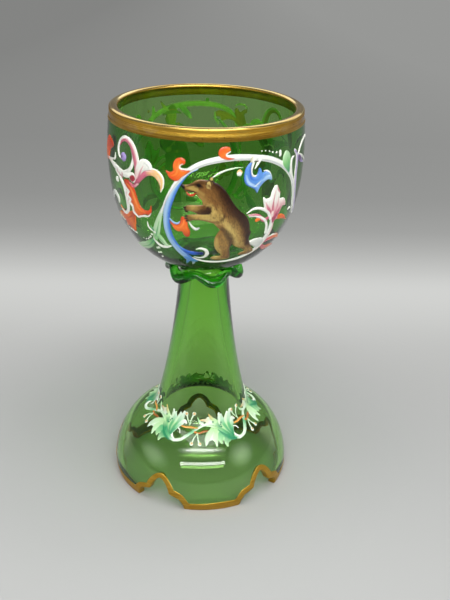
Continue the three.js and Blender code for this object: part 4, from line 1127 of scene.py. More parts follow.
    # The flower spray beside the scroll: stems, serrated orange leaves, and a curled pink flower
    fill("side_leaf", [(-80, 134), (-77, 138.6), (-72, 141.2), (-66.4, 140.6), (-63.4, 139), (-66, 137.6),
                       (-69.4, 136.4), (-72, 133.6), (-76, 132)], [AMBER, FLAME, RUST], (-78, 134),
         (-64, 139))
    fill("side_leaf", [(-45.4, 118.8), (-49.4, 117.6), (-54, 116.4), (-58, 116.6), (-61.4, 118),
                       (-60.4, 115.4), (-64, 115.2), (-69.4, 113.4), (-63, 112.8), (-60, 111.9),
                       (-61.6, 109.9), (-56.6, 110.4), (-51.6, 109.3), (-48.8, 111.8), (-46, 115.4)],
         [RUST, AMBER, FLAME, PEACH], (-46.4, 117), (-64, 112), rim=AMBER)
    brush("side_leaf", [(-48, 116.4), (-54, 114.4), (-62, 113.8)], [0.3, 0.7, 0.2], [RUST, AMBER])
    brush("side_leaf", [(-70, 112.6), (-63.6, 112), (-59.6, 112.4)], [0.3, 0.6, 0.3], [WHITE])
    brush("side_leaf", [(-60.6, 109.4), (-55.4, 109.2), (-50.6, 108.6)], [0.5, 0.9, 0.3], [WHITE])
    brush("side_vine", [(-75, 133.2), (-69, 132.9), (-62.6, 132), (-56, 131.1), (-50, 130.8), (-45, 131.4)],
          [0.5, 1.4, 2.2, 2.4, 2.2, 1.4], [BLUSH, WHITE, WHITE, WHITE])
    brush("side_vine", [(-60.6, 130.8), (-56.4, 129), (-53, 126.4), (-51.4, 123.2), (-51.2, 120),
                        (-52.8, 117.2), (-56.6, 115.9), (-61.4, 117.2)],
          [1.4, 1.5, 1.5, 1.9, 1.9, 1.4, 1.0, 0.3], [WHITE])
    brush("side_vine", [(-70, 133.6), (-65, 134), (-61.6, 134.8), (-61, 136.6)],
          [0.3, 0.6, 1.0, 0.5], [WHITE])
    dot("side_vine", (-60, 127.6), 2.1, WHITE, level=0.4)
    brush("side_vine", [(-74, 118.4), (-70, 120.9), (-66, 121.6), (-62.6, 120.4), (-62.8, 118.6)],
          [0.6, 1.6, 2.2, 2.0, 0.8], [PALE_GREY, WHITE])
    for place in ((-58.2, 130.9), (-56.2, 130.2), (-54.4, 129.7), (-53, 130.6)):
        dot("side_vine", place, 0.5, ROSE, lean=(0.5, -0.8))
    fill("side_leaf", [(-52.4, 128.4), (-49.4, 129.3), (-46, 128.6), (-43.4, 127), (-42, 124.8),
                       (-40.8, 122.4), (-39, 120.6), (-36, 120), (-33.4, 120.6), (-31.8, 122.4),
                       (-31.9, 119.9), (-34, 118.5), (-37.4, 118.3), (-40.4, 117.2), (-43.4, 117),
                       (-45.6, 118.6), (-46, 120.6), (-48.4, 121.6), (-46.8, 122.6), (-49.4, 124),
                       (-47.4, 125.2), (-50.4, 126.4)],
         [RUST, FLAME, AMBER, FLAME], (-51, 128), (-34, 119.6), rim=RUST, level=0.36)
    brush("side_leaf", [(-49.6, 128), (-45.4, 126.4), (-43, 123), (-41, 120), (-36, 119.2)],
          [0.3, 1.0, 1.0, 0.7, 0.2], [AMBER, tone(238, 138, 66), AMBER])
    brush("side_leaf", [(-51.4, 127), (-49, 125.2), (-50, 123.6), (-47.8, 122.4), (-49.4, 121),
                        (-46.8, 119.8), (-46.4, 118), (-43.4, 116.5), (-40.6, 117.1), (-37.4, 117.6),
                        (-34.4, 118), (-32.4, 119.4)],
          [0.8, 1.3, 1.3, 1.4, 1.4, 1.2, 1.1, 0.9, 0.8, 0.8, 0.5, 0.2], [WHITE], across=[WHITE, WHITE, BLUSH])
    brush("side_flower", [(-51.6, 131.6), (-46.8, 132.9), (-44.2, 135.2), (-43.4, 138), (-45.2, 140.6)],
          [0.8, 1.4, 1.4, 1.0, 0.4], [WHITE])
    brush("side_flower", [(-40.4, 131.4), (-40.6, 135), (-41.8, 138.4), (-44.6, 141.4), (-49, 142.9),
                          (-53, 142.2), (-55.2, 140.4)], [2.4, 2.4, 2.2, 2.0, 1.7, 1.2, 0.5],
          [ROSE], across=[DEEP_ROSE, ROSE, ROSE, BLUSH, WHITE])
    brush("side_flower", [(-38.6, 134), (-39.6, 138), (-42.2, 141.4), (-46.4, 143.4), (-51, 143.6),
                          (-55, 142), (-57, 139.4), (-56.4, 136.8), (-54, 135.8)],
          [0.5, 0.7, 0.7, 0.7, 0.8, 1.0, 1.3, 1.1, 0.5], [WHITE])
    dot("side_flower", (-51.8, 136.7), 3.1, LILAC, level=0.42)
    brush("side_flower", [(-53.6, 137), (-52, 135.4), (-49.8, 136)], [0.4, 0.7, 0.3], [PURPLE, LILAC])
    dot("side_flower", (-52.6, 136.8), 0.8, PURPLE)
    fill("side_flower", [(-41.4, 133.8), (-39.6, 136.4), (-36.6, 138), (-33.2, 138), (-30.6, 136.8),
                         (-29.8, 135), (-32, 134.4), (-35, 134.2), (-37.4, 132.8), (-39.4, 130.6),
                         (-42, 130.2)],
         [BLUSH, WHITE, WHITE], (-41, 131), (-32, 137), level=0.4)
    brush("side_flower", [(-39.2, 131.2), (-37.4, 133.8), (-35.4, 135.8)], [0.8, 0.6, 0.2], [ROSE, BLUSH])
    brush("side_flower", [(-35, 137), (-33, 136.4), (-31.4, 135.4)], [0.2, 0.4, 0.2], [PALE_GREY])
    fill("side_flower", [(-43.4, 128), (-39.6, 129.2), (-36.2, 131.2), (-33, 132.6), (-29.6, 132.9),
                         (-27, 131.8), (-25.4, 130), (-25.1, 127.8), (-23.6, 129.6), (-23.3, 132.4),
                         (-25, 134.4), (-28.4, 135.2), (-32, 134.7), (-36, 133.6), (-39.4, 131.2),
                         (-42.6, 130)],
         [DEEP_ROSE, ROSE, ROSE, PEACH, PEACH], (-42, 129), (-24.6, 131), level=0.4)
    brush("side_flower", [(-34, 134.2), (-29.4, 134.6), (-26.2, 133.2), (-24.6, 130.6)], [0.3, 0.9, 0.8, 0.2],
          [BLUSH, PEACH, CREAM])
    brush("side_flower", [(-30.6, 135.6), (-26.4, 135), (-23.3, 132.9), (-23.3, 130), (-25, 127.8)],
          [0.2, 0.45, 0.5, 0.4, 0.2], [WHITE])
    dot("side_flower", (-44.2, 130.6), 3.5, WHITE, level=0.36)
    dot("side_flower", (-44, 130.4), 2.1, CRIMSON, level=0.42, lean=(1.0, 0.4))
    brush("side_flower", [(-46.6, 128.6), (-43.4, 127.7), (-40, 129)], [0.4, 1.1, 0.6], [ROSE, ROSE, BLUSH])


# The bear stands on its hind legs inside the front scroll. It is painted flat, in thin brown enamels, and
# its fur is drawn with the tip of the brush.
def paint_bear():
    """The bear, from its far legs to its near arm."""
    fill, brush, dot, shade = bowl_paint.fill, bowl_paint.brush, bowl_paint.dot, bowl_paint.shade
    name = "front_bear"
    flat = 0.24
    fill(name, [(16, 115), (28.4, 114), (29, 111), (30.4, 108.7), (33.4, 106.6), (36.6, 104.6), (34, 103.5),
                (29.6, 103.1), (25, 103.4), (26.2, 104.5), (29, 105), (26, 106.4), (22, 107.4),
                (17.6, 109.4)],
         [UMBER, BARK, TAN, BARK], (27, 113), (30, 103.4), level=flat)
    fill(name, [(-12.5, 130.9), (-11.2, 131.6), (-9, 131.8), (-6.6, 132.6), (-4.6, 133.4), (-2, 133.7),
                (1.4, 133.5), (2.6, 134.5), (3.8, 134.2), (4.4, 133.1), (6.6, 132.3), (9.2, 131),
                (11.9, 129), (14.2, 126.6), (17, 124.1), (20, 122.1), (23, 120.6), (25.4, 118.8),
                (27.2, 116.4), (28.4, 113.4), (29, 110.6), (27, 108.6), (23, 107.6), (19.4, 108.6),
                (16.4, 111), (13.4, 113.4), (10, 114.9), (7.4, 116.4), (5, 118), (3.4, 119.6), (0.8, 121.2),
                (-0.8, 123.2), (-1.3, 125), (-1.8, 126.3), (-3.2, 127.2), (-4.2, 128.1), (-4.8, 128.7),
                (-6.6, 129.2), (-8.8, 129.3), (-10.8, 129.5)],
         [TAN, TAN, BARK, UMBER], (2, 119), (17, 126), level=flat)
    coat, gold = tone(140, 96, 54), tone(196, 166, 108)
    shade(name, [(-12, 130.4), (-5, 130.8), (2, 130), (8, 126), (14, 121), (20, 116), (27, 109)],
          [6, 8, 11, 15, 17, 16, 11], [coat, coat, tone(150, 108, 62), coat], strength=1.0)
    shade(name, [(2.6, 124), (4.4, 120.6), (9, 117), (14.6, 113.6), (20, 110.2), (25.6, 106.6)],
          [4, 7.5, 9.5, 9.5, 8.5, 5], [gold, tone(206, 178, 120), tone(210, 184, 126), gold, TAN],
          strength=1.0)
    back = [(2, 133.4), (6, 132.4), (9.8, 130.6), (13.4, 127.6), (17, 124.6), (21, 121.8), (24.6, 119.2),
            (27, 116), (28.4, 112), (28.4, 109)]
    shade(name, back, [4, 6, 9, 12, 13.6, 14.4, 13.6, 11, 7, 4], [tone(96, 58, 30)], strength=0.8)
    shade(name, back, [2, 4, 7, 9, 10, 10.6, 10, 7.6, 5, 2.4],
          [UMBER, MAROON, MAROON, MAROON, UMBER], strength=0.8)
    shade(name, back, [0.8, 1.4, 2, 2.4, 2.8, 2.8, 2.4, 1.8, 1.2, 0.8],
          [MAROON, MAROON, UMBER], strength=0.85)
    shade(name, [(3.4, 131.4), (4.6, 128.8), (5.4, 126), (6.4, 123.4)], [1, 2.2, 2.4, 1],
          [UMBER, BARK, UMBER], strength=0.45)
    shade(name, [(12, 121), (16.6, 118.4), (20.4, 114.6), (22.4, 110.6)], [3, 4, 4, 3], [BARK, TAN, BARK],
          strength=0.35)
    shade(name, [(27, 112), (30, 109), (33, 106.8), (35.6, 105)], [3, 2.8, 2, 0.8],
          [MAROON, UMBER, BARK], strength=0.6)
    brush(name, [(19, 110.6), (23.4, 108.4), (27.4, 106.6)], [1.2, 1.6, 0.8], [FAWN, TAN, BARK], level=flat)
    for place in ((25.6, 103.5), (27.2, 103.3), (28.8, 103.2)):
        dot(name, place, 0.5, UMBER, level=flat)

    # Head: brow, muzzle, ears, eye, nose and open mouth
    brush(name, [(-11.6, 130.9), (-8.6, 130.9), (-5, 130.4)], [0.8, 1.3, 1.8], [BARK, TAN, TAN], level=flat)
    brush(name, [(-10.2, 129.0), (-9.2, 128.3), (-7.8, 128.0), (-6.2, 128.3), (-5.2, 128.9)],
          [0.3, 0.7, 0.9, 0.8, 0.3], [RUST], across=[FLAME, RUST], level=0.28)
    brush(name, [(-10.9, 129.8), (-8.6, 129.6), (-6.4, 129.5), (-4.8, 129.2)], [0.2, 0.35, 0.4, 0.2],
          [MAROON], level=flat)
    shade(name, [(-9.8, 131.2), (-6, 132), (-2, 132.6), (1.4, 132.6)], [0.8, 1.6, 2.4, 1.4],
          [UMBER, UMBER, UMBER, BARK], strength=0.75)
    shade(name, [(-5.4, 131.2), (-3.4, 131.2), (-1.4, 131)], [1, 2.4, 1.2],
          [UMBER, MAROON, UMBER], strength=0.6)
    shade(name, [(-8.6, 130.4), (-5.6, 130.2), (-3, 129.4), (-1, 128.6)], [0.8, 1.2, 1.6, 1.6],
          [gold, TAN, TAN], strength=0.55)
    dot(name, (3.2, 133.9), 1.0, FAWN, level=0.3)
    dot(name, (2, 131.9), 2.5, UMBER, level=0.28)
    dot(name, (2, 131.9), 1.9, FAWN, level=0.32, lean=(0.4, 0.6))
    brush(name, [(2.8, 132.9), (3.4, 131.8), (2.6, 130.7)], [0.4, 0.6, 0.4], [UMBER, BARK], level=0.3)
    dot(name, (1.8, 131.7), 0.7, BARK, level=0.32)
    brush(name, [(-5.4, 131.9), (-3.6, 131.8), (-1.6, 131.2)], [0.4, 1.1, 0.4],
          [UMBER, MAROON, UMBER], level=flat)
    dot(name, (-3.6, 131.6), 1.0, SOOT, level=0.3, lean=(0.4, -0.1))
    dot(name, (-12, 130.9), 1.15, SOOT, level=0.34, lean=(0.5, -0.5))

    # The near hind leg, then the far arm and the near arm with their paws
    fill(name, [(9.4, 115.4), (7, 113.4), (5.9, 110.8), (6.5, 108.3), (8.6, 106.2), (10.8, 104.9),
                (11.4, 104), (8, 103.9), (5, 103.3), (4.7, 102.3), (9, 101.8), (14, 101.9), (18.2, 102.2),
                (18.8, 103.1), (17.8, 105), (16.9, 107.2), (17.4, 109.6), (16, 112.2), (13, 114.6)],
         [TAN, FAWN, TAN, BARK], (7, 110), (18.4, 109), level=flat)
    shade(name, [(8.6, 116.4), (9.4, 113.2), (11.6, 110.4), (13.4, 107), (13.6, 104)], [6, 8, 9, 7, 4],
          [coat, tone(160, 120, 70), tone(160, 120, 70), coat], strength=0.9)
    shade(name, [(10.4, 116), (14.4, 113.2), (17, 110), (17.2, 106.6), (18, 103.4)], [2.4, 4, 3.6, 2.4, 1.6],
          [UMBER, MAROON, UMBER, BARK], strength=0.7)
    shade(name, [(7.4, 112), (7.6, 109), (9.8, 106.4), (12, 104.4)], [1.4, 2.4, 2.4, 1.4], [gold, gold, TAN],
          strength=0.7)
    shade(name, [(6.6, 103), (10, 102.6), (14, 102.6)], [1.0, 1.2, 1.0], [gold, TAN], strength=0.6)
    brush(name, [(5.2, 102.5), (9, 102.3), (14, 102.4), (18, 102.6)], [0.5, 0.7, 0.8, 0.5],
          [UMBER, BARK, TAN, BARK], level=flat)
    for place in ((4.9, 102.8), (6.4, 102.4), (8, 102.1)):
        dot(name, place, 0.45, UMBER, level=flat)
    fill(name, [(-1.2, 124.8), (-4, 124.7), (-7.6, 124.6), (-10.2, 124.3), (-11.4, 123.3), (-10.6, 122.5),
                (-8, 122.4), (-5.4, 121.8), (-2.4, 121.3), (1.4, 121.4), (3.4, 122.4), (2.4, 124.2)],
         [BARK, TAN, BARK, UMBER], (-11, 123.4), (2, 122.6), level=0.28)
    shade(name, [(-7, 122.6), (-2.6, 122.4), (1.4, 122.4), (2.6, 124)], [1.4, 3, 3.4, 2.4],
          [BARK, UMBER, MAROON, UMBER], strength=0.85)
    fill(name, [(10.4, 121), (7, 122), (3.6, 121.6), (0, 121.5), (-4, 121.3), (-8, 121.1), (-10, 120.7),
                (-10.6, 119.4), (-9.2, 118.5), (-6.6, 119), (-3, 119.1), (1, 118.7), (4, 118.1), (7, 118),
                (9.8, 118.9)], [BARK, TAN, FAWN, TAN], (-10.4, 119.6), (8, 120), level=0.3)
    shade(name, [(-9, 119.2), (-3, 119.3), (2, 118.9), (6.6, 118.5), (9.8, 119.6), (11, 121.4)],
          [1.0, 1.8, 1.8, 1.8, 1.8, 1.0], [UMBER, BARK, coat, UMBER, UMBER], strength=0.7)
    shade(name, [(-7, 120.4), (-1, 120.7), (5, 120.6), (7.6, 122.6), (7, 125.4)], [1.0, 1.6, 2.2, 3, 2.4],
          [TAN, gold, TAN, TAN, coat], strength=0.6)
    for place in ((-11.2, 123.6), (-11, 122.8), (-10.2, 122.2), (-10.6, 120.5), (-10.7, 119.6), (-10, 118.8)):
        dot(name, place, 0.6, MAROON, level=0.28, lean=(-0.8, -0.1))


# Over the painted body the bear has a thin brown glaze and then short hairs.
PALE_FUR = 0.7
GLAZE = (0.8, 0.8, 0.54)
GLAZE_DEPTH = 0.3
DARKEST_FUR = 0.05


def glaze(name):
    """A thin brown wash over a whole figure, deepest where the figure is dark."""
    mine = bowl_paint.owner == bowl_paint.names.index(name)
    under = bowl_paint.colour[mine]
    pale = np.clip(under.sum(axis=-1, keepdims=True) / PALE_FUR, DARKEST_FUR, 1)
    bowl_paint.colour[mine] = under * GLAZE * pale**GLAZE_DEPTH


def draw_fur(name, strokes, seed):
    """Short hairs over a figure, each a little lighter or darker than what it crosses."""
    index = bowl_paint.names.index(name)
    random = np.random.default_rng(seed)
    columns, rows = np.nonzero((bowl_paint.owner == index) & (bowl_paint.depth > 0.5))
    middle = bowl_paint.girth * math.pi
    for pick in random.choice(len(columns), strokes):
        i, j = columns[pick], rows[pick]
        across = (i * bowl_paint.step + middle) % (2 * middle) - middle
        mark = np.interp(j * bowl_paint.step, bowl_paint.flat, bowl_paint.marks)
        angle = math.degrees(across / bowl_paint.girth)
        if angle < 0 and mark > 127:
            continue
        heading = math.radians(-52 - 30 * random.random() - (118 - mark) * 0.6)
        way = np.array((math.cos(heading), math.sin(heading)))
        length = random.uniform(0.5, 1.3)
        count = max(int(length / bowl_paint.step), 2)
        under = bowl_paint.colour[i, j]
        weight = 0.8 if under.sum() < PALE_FUR else 0.3
        colour = under * random.choice((0.45, 0.65, 1.15, 1.3))
        for step in range(count):
            k = int(round(i + way[0] * step)) % bowl_paint.columns
            m = int(round(j + way[1] * step))
            if 0 < m < bowl_paint.rows and bowl_paint.owner[k, m] == index:
                share = weight * math.sin(math.pi * (step + 0.7) / (count + 0.4))
                bowl_paint.colour[k, m] = bowl_paint.colour[k, m] * (1 - share) + colour * share
                bowl_paint.height[k, m] += 0.015


# On the back half a hunter stands inside the scroll: a hat with a feather, a long coat, breeches and boots.
# One arm is held out, and the other hand rests on the belt.
COAT = tone(34, 84, 62)
DARK_COAT = tone(18, 50, 40)
LIGHT_COAT = tone(70, 128, 96)
SKIN = tone(214, 166, 122)


def paint_hunter():
    """The hunter, from the boots up to the hat."""

    def brush(*args, **rest):
        bowl_paint.brush("back_hunter", *args, turn=180, **rest)

    def fill(*args, **rest):
        bowl_paint.fill("back_hunter", *args, turn=180, **rest)

    def dot(*args, **rest):
        bowl_paint.dot("back_hunter", *args, turn=180, **rest)

    fill([(20.6, 112.6), (24.8, 112.6), (25, 109.4), (24.6, 106.8), (27, 105.6), (29.8, 104.9), (29.6, 104),
          (24.6, 103.8), (21.4, 104.3), (20.8, 107.4)], [BARK, UMBER, MAROON], (22, 112), (26, 104.4))
    fill([(12.3, 112.8), (17, 112.8), (17.2, 108.8), (16.7, 106), (16.9, 104.2), (12.6, 103.7), (7.8, 103.9),
          (7.6, 104.8), (10.4, 105.8), (12.4, 107.8)], [BARK, UMBER, MAROON], (15, 112), (10, 104.2))
    brush([(16, 111.8), (15.8, 108.4), (14.8, 106)], [0.5, 0.7, 0.2], [TAN, BARK], level=0.34)
    brush([(23.8, 111.6), (23.6, 108.6), (23.2, 106.4)], [0.4, 0.6, 0.2], [TAN, BARK], level=0.34)
    fill([(12.6, 112.6), (17, 112.6), (18.8, 115.4), (19.2, 118), (12, 118), (12, 115)], [TAN, FAWN, CREAM],
         (16, 113), (15, 118))
    fill([(20.6, 112.6), (24.8, 112.6), (26.6, 116), (26.4, 118), (18.8, 118), (19.6, 115)], [TAN, FAWN, TAN],
         (22, 113), (22, 118))
    brush([(11.9, 112.8), (14.6, 113.1), (17.4, 112.8)], [0.8, 1.0, 0.8], [TAN], level=0.36)
    brush([(20.3, 112.8), (22.6, 113.1), (25.1, 112.8)], [0.7, 0.9, 0.7], [TAN], level=0.36)
    fill([(13.4, 123.8), (28.2, 123.8), (29.6, 120.2), (30.6, 117), (26.4, 115.8), (21.2, 116.6),
          (16.2, 115.6), (10.8, 116.8), (11.8, 120.2)], [COAT, COAT, DARK_COAT], (20, 123.6), (20.5, 116),
         rim=DARK_COAT)
    fill([(14.6, 133.2), (17.4, 134.5), (21.4, 134.9), (25.4, 134.7), (28.6, 133.4), (29.8, 131),
          (28.8, 127.4), (28.2, 123.6), (13.8, 123.6), (14.4, 127.4), (13.6, 131)],
         [LIGHT_COAT, COAT, DARK_COAT], (15, 132), (29, 126), rim=DARK_COAT)
    for start, middle, end in (((14.6, 122.4), (13.6, 119.4), (13, 117)),
                               ((17.6, 122.6), (17.4, 119.6), (17.4, 116.6)),
                               ((24.6, 122.6), (25.4, 119.6), (26.2, 117)),
                               ((27.4, 122.6), (28.4, 120), (29, 117.6))):
        brush([start, middle, end], [0.3, 0.7, 0.3], [COAT, DARK_COAT, LIGHT_COAT], level=0.34)
    brush([(21.4, 134), (20.8, 129), (20.6, 124), (21, 116.8)], [0.4, 0.6, 0.5, 0.4], [DARK_COAT], level=0.34)
    brush([(15.2, 132), (16.8, 129), (16.6, 125.4)], [0.5, 1.2, 0.4], [LIGHT_COAT], level=0.34)
    brush([(16, 133.2), (20.4, 128.6), (27.6, 124.6)], [0.5, 0.6, 0.5], [TAN, PEACH, TAN], level=0.38)
    brush([(13.6, 123.9), (21, 123.4), (28.3, 123.9)], [1.1, 1.4, 1.1], [UMBER, BARK, UMBER], level=0.38)
    dot((20.8, 123.4), 1.3, tone(216, 172, 84), level=0.44)
    for height in (121.4, 126.2, 128.6, 131):
        dot((22.3, height), 0.6, tone(216, 172, 84), level=0.42)
    brush([(18.8, 134.6), (19.2, 132), (20.8, 129.6)], [0.9, 1.2, 0.5], [RUST, AMBER, RUST], level=0.38)
    brush([(25.8, 134.6), (24.8, 132), (22.4, 130.4)], [0.9, 1.2, 0.5], [RUST, AMBER, RUST], level=0.38)
    brush([(28.2, 132), (31, 129.2), (31.2, 126.8), (28.6, 124.9)], [3.0, 2.9, 2.6, 2.2],
          [COAT, DARK_COAT, COAT], level=0.4)
    brush([(29, 132), (31.4, 129.4), (31.6, 127.2)], [0.4, 0.8, 0.3], [LIGHT_COAT], level=0.44)
    dot((26.8, 124.6), 1.9, SKIN, level=0.46, lean=(1.0, 0))
    brush([(15.6, 132), (11.8, 130.2), (8.4, 127.9), (5.8, 126.6)], [3.2, 3.0, 2.6, 2.3],
          [COAT, LIGHT_COAT, COAT], level=0.4)
    brush([(15, 130.6), (11.4, 128.8), (8, 126.8)], [0.5, 0.9, 0.4], [DARK_COAT], level=0.42)
    brush([(6.2, 127.9), (5.6, 126.6), (5.4, 125.3)], [0.8, 1.1, 0.8], [RUST, AMBER], level=0.44)
    dot((3.7, 125.9), 1.9, SKIN, level=0.46, lean=(1.4, 0.2))
    brush([(4.2, 126.6), (2.8, 127), (2.2, 126.6)], [0.5, 0.5, 0.3], [SKIN], level=0.46)
    brush([(22.8, 134.2), (23.1, 135.8)], [2.6, 2.4], [SKIN, TAN], level=0.36)
    brush([(26, 138.4), (26.9, 136.6), (26.2, 134.8)], [1.2, 1.5, 0.8], [BARK, UMBER], level=0.4)
    fill([(20.5, 138.4), (20.2, 136.8), (20.8, 135.4), (22.2, 134.4), (24, 134.5), (25.5, 135.6), (26, 137.2),
          (25.8, 138.8), (23, 139)], [tone(232, 192, 150), SKIN, TAN], (20.6, 137), (26, 136), level=0.44)
    dot((21.6, 136), 0.9, tone(214, 140, 112), level=0.44)
    dot((24.6, 136), 0.8, tone(206, 138, 108), level=0.44)
    for across in (21.6, 24):
        dot((across, 137), 0.36, SOOT, level=0.45, lean=(0.3, 0))
        brush([(across - 0.8, 137.6), (across, 137.9), (across + 0.8, 137.6)], [0.15, 0.26, 0.15], [UMBER],
              level=0.45)
    brush([(22.7, 137.2), (22.3, 136.2), (23, 136.1)], [0.15, 0.26, 0.15], [TAN, BARK], level=0.46)
    brush([(21.9, 135.3), (22.8, 135.1), (23.7, 135.3)], [0.15, 0.3, 0.15], [tone(176, 82, 66)], level=0.45)
    fill([(20, 139.4), (20.6, 141), (22.4, 142), (24.6, 141.8), (26.4, 140.8), (27, 139.4)],
         [LIGHT_COAT, COAT, DARK_COAT], (20, 141), (27, 140), level=0.42)
    brush([(17.2, 138.6), (20, 139.1), (23.4, 139.3), (27, 139.1), (29.8, 138.4)], [0.5, 1.1, 1.3, 1.1, 0.4],
          [COAT, LIGHT_COAT, COAT, DARK_COAT], level=0.46)
    brush([(20.2, 139.9), (23.4, 140.2), (26.8, 139.9)], [0.3, 0.45, 0.3], [AMBER], level=0.46)
    brush([(25.8, 140), (28.2, 141.2), (30.4, 142.6), (31.6, 143.9)], [0.5, 1.2, 1.0, 0.3],
          [WHITE, PEACH, RUST], level=0.46)


paint_half("front_", 0, paint_front_top)
paint_half("back_", 180, paint_back_top)
paint_bear()
glaze("front_bear")
draw_fur("front_bear", 3200, 7)
paint_hunter()

# A garland is painted round the crease between stem and foot: a vine in six waves, and in each wave five
# fronds and a long leaf above it, a lower leaf, thin branches and berries.
GARLAND_WAVES = 6
GARLAND_TROUGH = -24
GARLAND_REACH = (-14.5, 11)
GARLAND_FRONT = 45
GARLAND_EASE = 50
GARLAND_LIFT = 2.6
GARLAND_SQUEEZE = 0.3
foot_line = np.array(outer_foot)
foot_lengths = np.r_[0, np.cumsum(np.linalg.norm(np.diff(foot_line, axis=0), axis=1))]
foot_marks = foot_lengths - foot_lengths[int(np.argmin(np.linalg.norm(foot_line - crease, axis=1)))]
painted_part = (foot_marks > GARLAND_REACH[0]) & (foot_marks < GARLAND_REACH[1])
garland_paint = Painting(foot_line[painted_part], foot_marks[painted_part], 21, 0.15)
PINE = tone(35, 130, 85)
GRASS = tone(92, 168, 112)
LIME = tone(170, 206, 152)
FOAM = tone(196, 214, 192)
FROST = tone(210, 224, 206)
STRAW = tone(205, 165, 100)


def paint_wave(number):
    """One wave of the garland. Places are degrees from its trough and millimetres up from the crease."""
    turn = GARLAND_TROUGH + 360 / GARLAND_WAVES * (number - 1)
    random = np.random.default_rng(40 + number)
    high, low, vine = f"garland_leaf_high_{number}", f"garland_leaf_low_{number}", "garland_vine"

    def raised(line):
        """Places drawn in and lifted towards the stem round the sides and the back."""
        line = np.array(line, float)
        away = np.abs((line[:, 0] + turn + 180) % 360 - 180)
        share = np.clip((away - GARLAND_FRONT) / GARLAND_EASE, 0, 1)
        line[:, 1] += share * (GARLAND_LIFT - GARLAND_SQUEEZE * line[:, 1])
        return line

    def stroke(name, line, widths, tones, level=0.22):
        wander = random.normal(0, 1, (len(line), 2)) * (0.3, 0.1)
        garland_paint.brush(name, raised(np.array(line) + wander), widths, tones, turn=turn, level=level)

    def patch(name, outline, tones, root, tip):
        garland_paint.fill(name, raised(outline), tones, root, tip, turn=turn, level=0.2)

    def dot(name, place, size, colour, level=0.3):
        garland_paint.dot(name, raised([place])[0], size, colour, turn=turn, level=level)

    wave = [(0, -8.1), (6, -7.2), (11, -5.2), (16, -3.2), (21, -1.6), (27, -0.4), (34, -0.6), (41, -2),
            (46, -4), (51, -6), (56, -7.5), (60, -8.1)]
    greens = [FROST, tone(200, 222, 196), GRASS, FOAM, tone(185, 215, 180), LIME, PINE, GRASS, FROST]
    garland_paint.brush(vine, raised(wave), [1.2, 1.3, 1.1, 1.2, 1.3, 1.2], greens, turn=turn, level=0.22)
    stroke(vine, [(0, -7.6), (-3, -6.6), (-3.8, -4.6), (-2.6, -3), (0, -2.8), (2.2, -3.6), (3, -4.6)],
           [0.8, 0.7, 0.6, 0.6, 0.5, 0.35], [WHITE])
    stroke(vine, [(-2, -1.4), (6, -1.7), (13, -1.5), (20, -1.9)], [0.5, 0.9, 1.0, 0.6],
           [tone(195, 125, 50), tone(214, 156, 84), tone(195, 125, 50)])
    stroke(vine, [(-42.5, -3.6), (-38, -3.9), (-33, -3.2), (-28.5, -3)], [0.8, 0.8, 1.0, 0.7],
           [tone(185, 110, 35), tone(130, 75, 25)])
    for root, berry in (((11, -0.6), (5, 3.6)), ((11, -0.6), (15, 4.0)), ((-39.5, -4.2), (-44, -8.4)),
                        ((-39.5, -4.2), (-37, -8.4))):
        middle = ((root[0] + berry[0]) / 2 - 0.6, (root[1] + berry[1]) / 2 + 0.2)
        stroke(vine, [root, middle, berry], [0.35, 0.45, 0.7], [MINT, FROST])
        dot(vine, berry, 1.5, tone(215, 228, 215))
        dot(vine, (berry[0] + 0.3, berry[1] + 0.1), 1.0, tone(205, 165, 105), level=0.36)

    patch(high, [(-34, -0.6), (-30, 0.6), (-24, 1.4), (-18, 1.2), (-14, 0.6), (-13, -0.6), (-16, -1),
                 (-22, -0.6), (-28, -0.4)], [FROST, FOAM, FROST], (-13, 0), (-34, 0))
    stroke(high, [(-14, -1.6), (-20, 0.6), (-26, 1.6), (-31, 1.6)], [1.2, 2.4, 2.4, 0.6],
           [PINE, LIME, FOAM, STRAW])
    stroke(high, [(-20, 0.8), (-24, 2.2), (-27, 4)], [1.8, 1.3, 0.3], [LIME, tone(190, 150, 85)])
    stroke(high, [(-26, 0.8), (-31, 1.6), (-37, 1.6)], [1.8, 1.2, 0.3], [FOAM, tone(200, 160, 95)])
    stroke(high, [(-34, -0.2), (-38, 1), (-41, 2.9)], [1.2, 0.9, 0.25], [FROST, tone(120, 185, 110)])
    patch(high, [(-6, -6.2), (-9.6, -3.4), (-12.6, 0.2), (-12.6, 2.4), (-10.6, 1.8), (-8.6, 2.2), (-6.6, 1.0),
                 (-4, 2.2), (-1.4, 2.2), (1, 2.2), (1.6, 0.6), (3.4, 0), (1, -1.8), (-2, -4.2), (-4, -6)],
          [GRASS, FROST, FROST], (-5, -6), (-5, 3))
    stroke(high, [(-6, -6.4), (-9, -3.6), (-12, 0), (-13.4, 3.8)], [0.8, 2.1, 2.3, 0.7], [PINE, LIME, FROST])
    stroke(high, [(-6, -6), (-8, -3), (-9.6, 0.5), (-10, 3.4)], [0.8, 1.7, 1.9, 0.6], [PINE, GRASS, FOAM])
    stroke(high, [(-5, -6), (-5, -3), (-4, 0.4), (-2, 3.4)], [0.8, 2.1, 2.6, 0.8], [PINE, LIME, FROST])
    stroke(high, [(-5, -5.6), (-3.6, -2.8), (-1, 0.4), (2.4, 4.2)], [0.8, 2.0, 2.4, 0.7],
           [PINE, GRASS, FROST])
    stroke(high, [(-3, -3.4), (0, -1.2), (3.4, 0.4), (6.4, -0.1)], [0.6, 1.7, 1.6, 0.5], [GRASS, FOAM, WHITE])
    for place in ((-12.5, 0), (-13.5, -0.8), (-13.5, -1.8), (-22, 0.7)):
        dot(high, place, 0.7, tone(30, 110, 75))

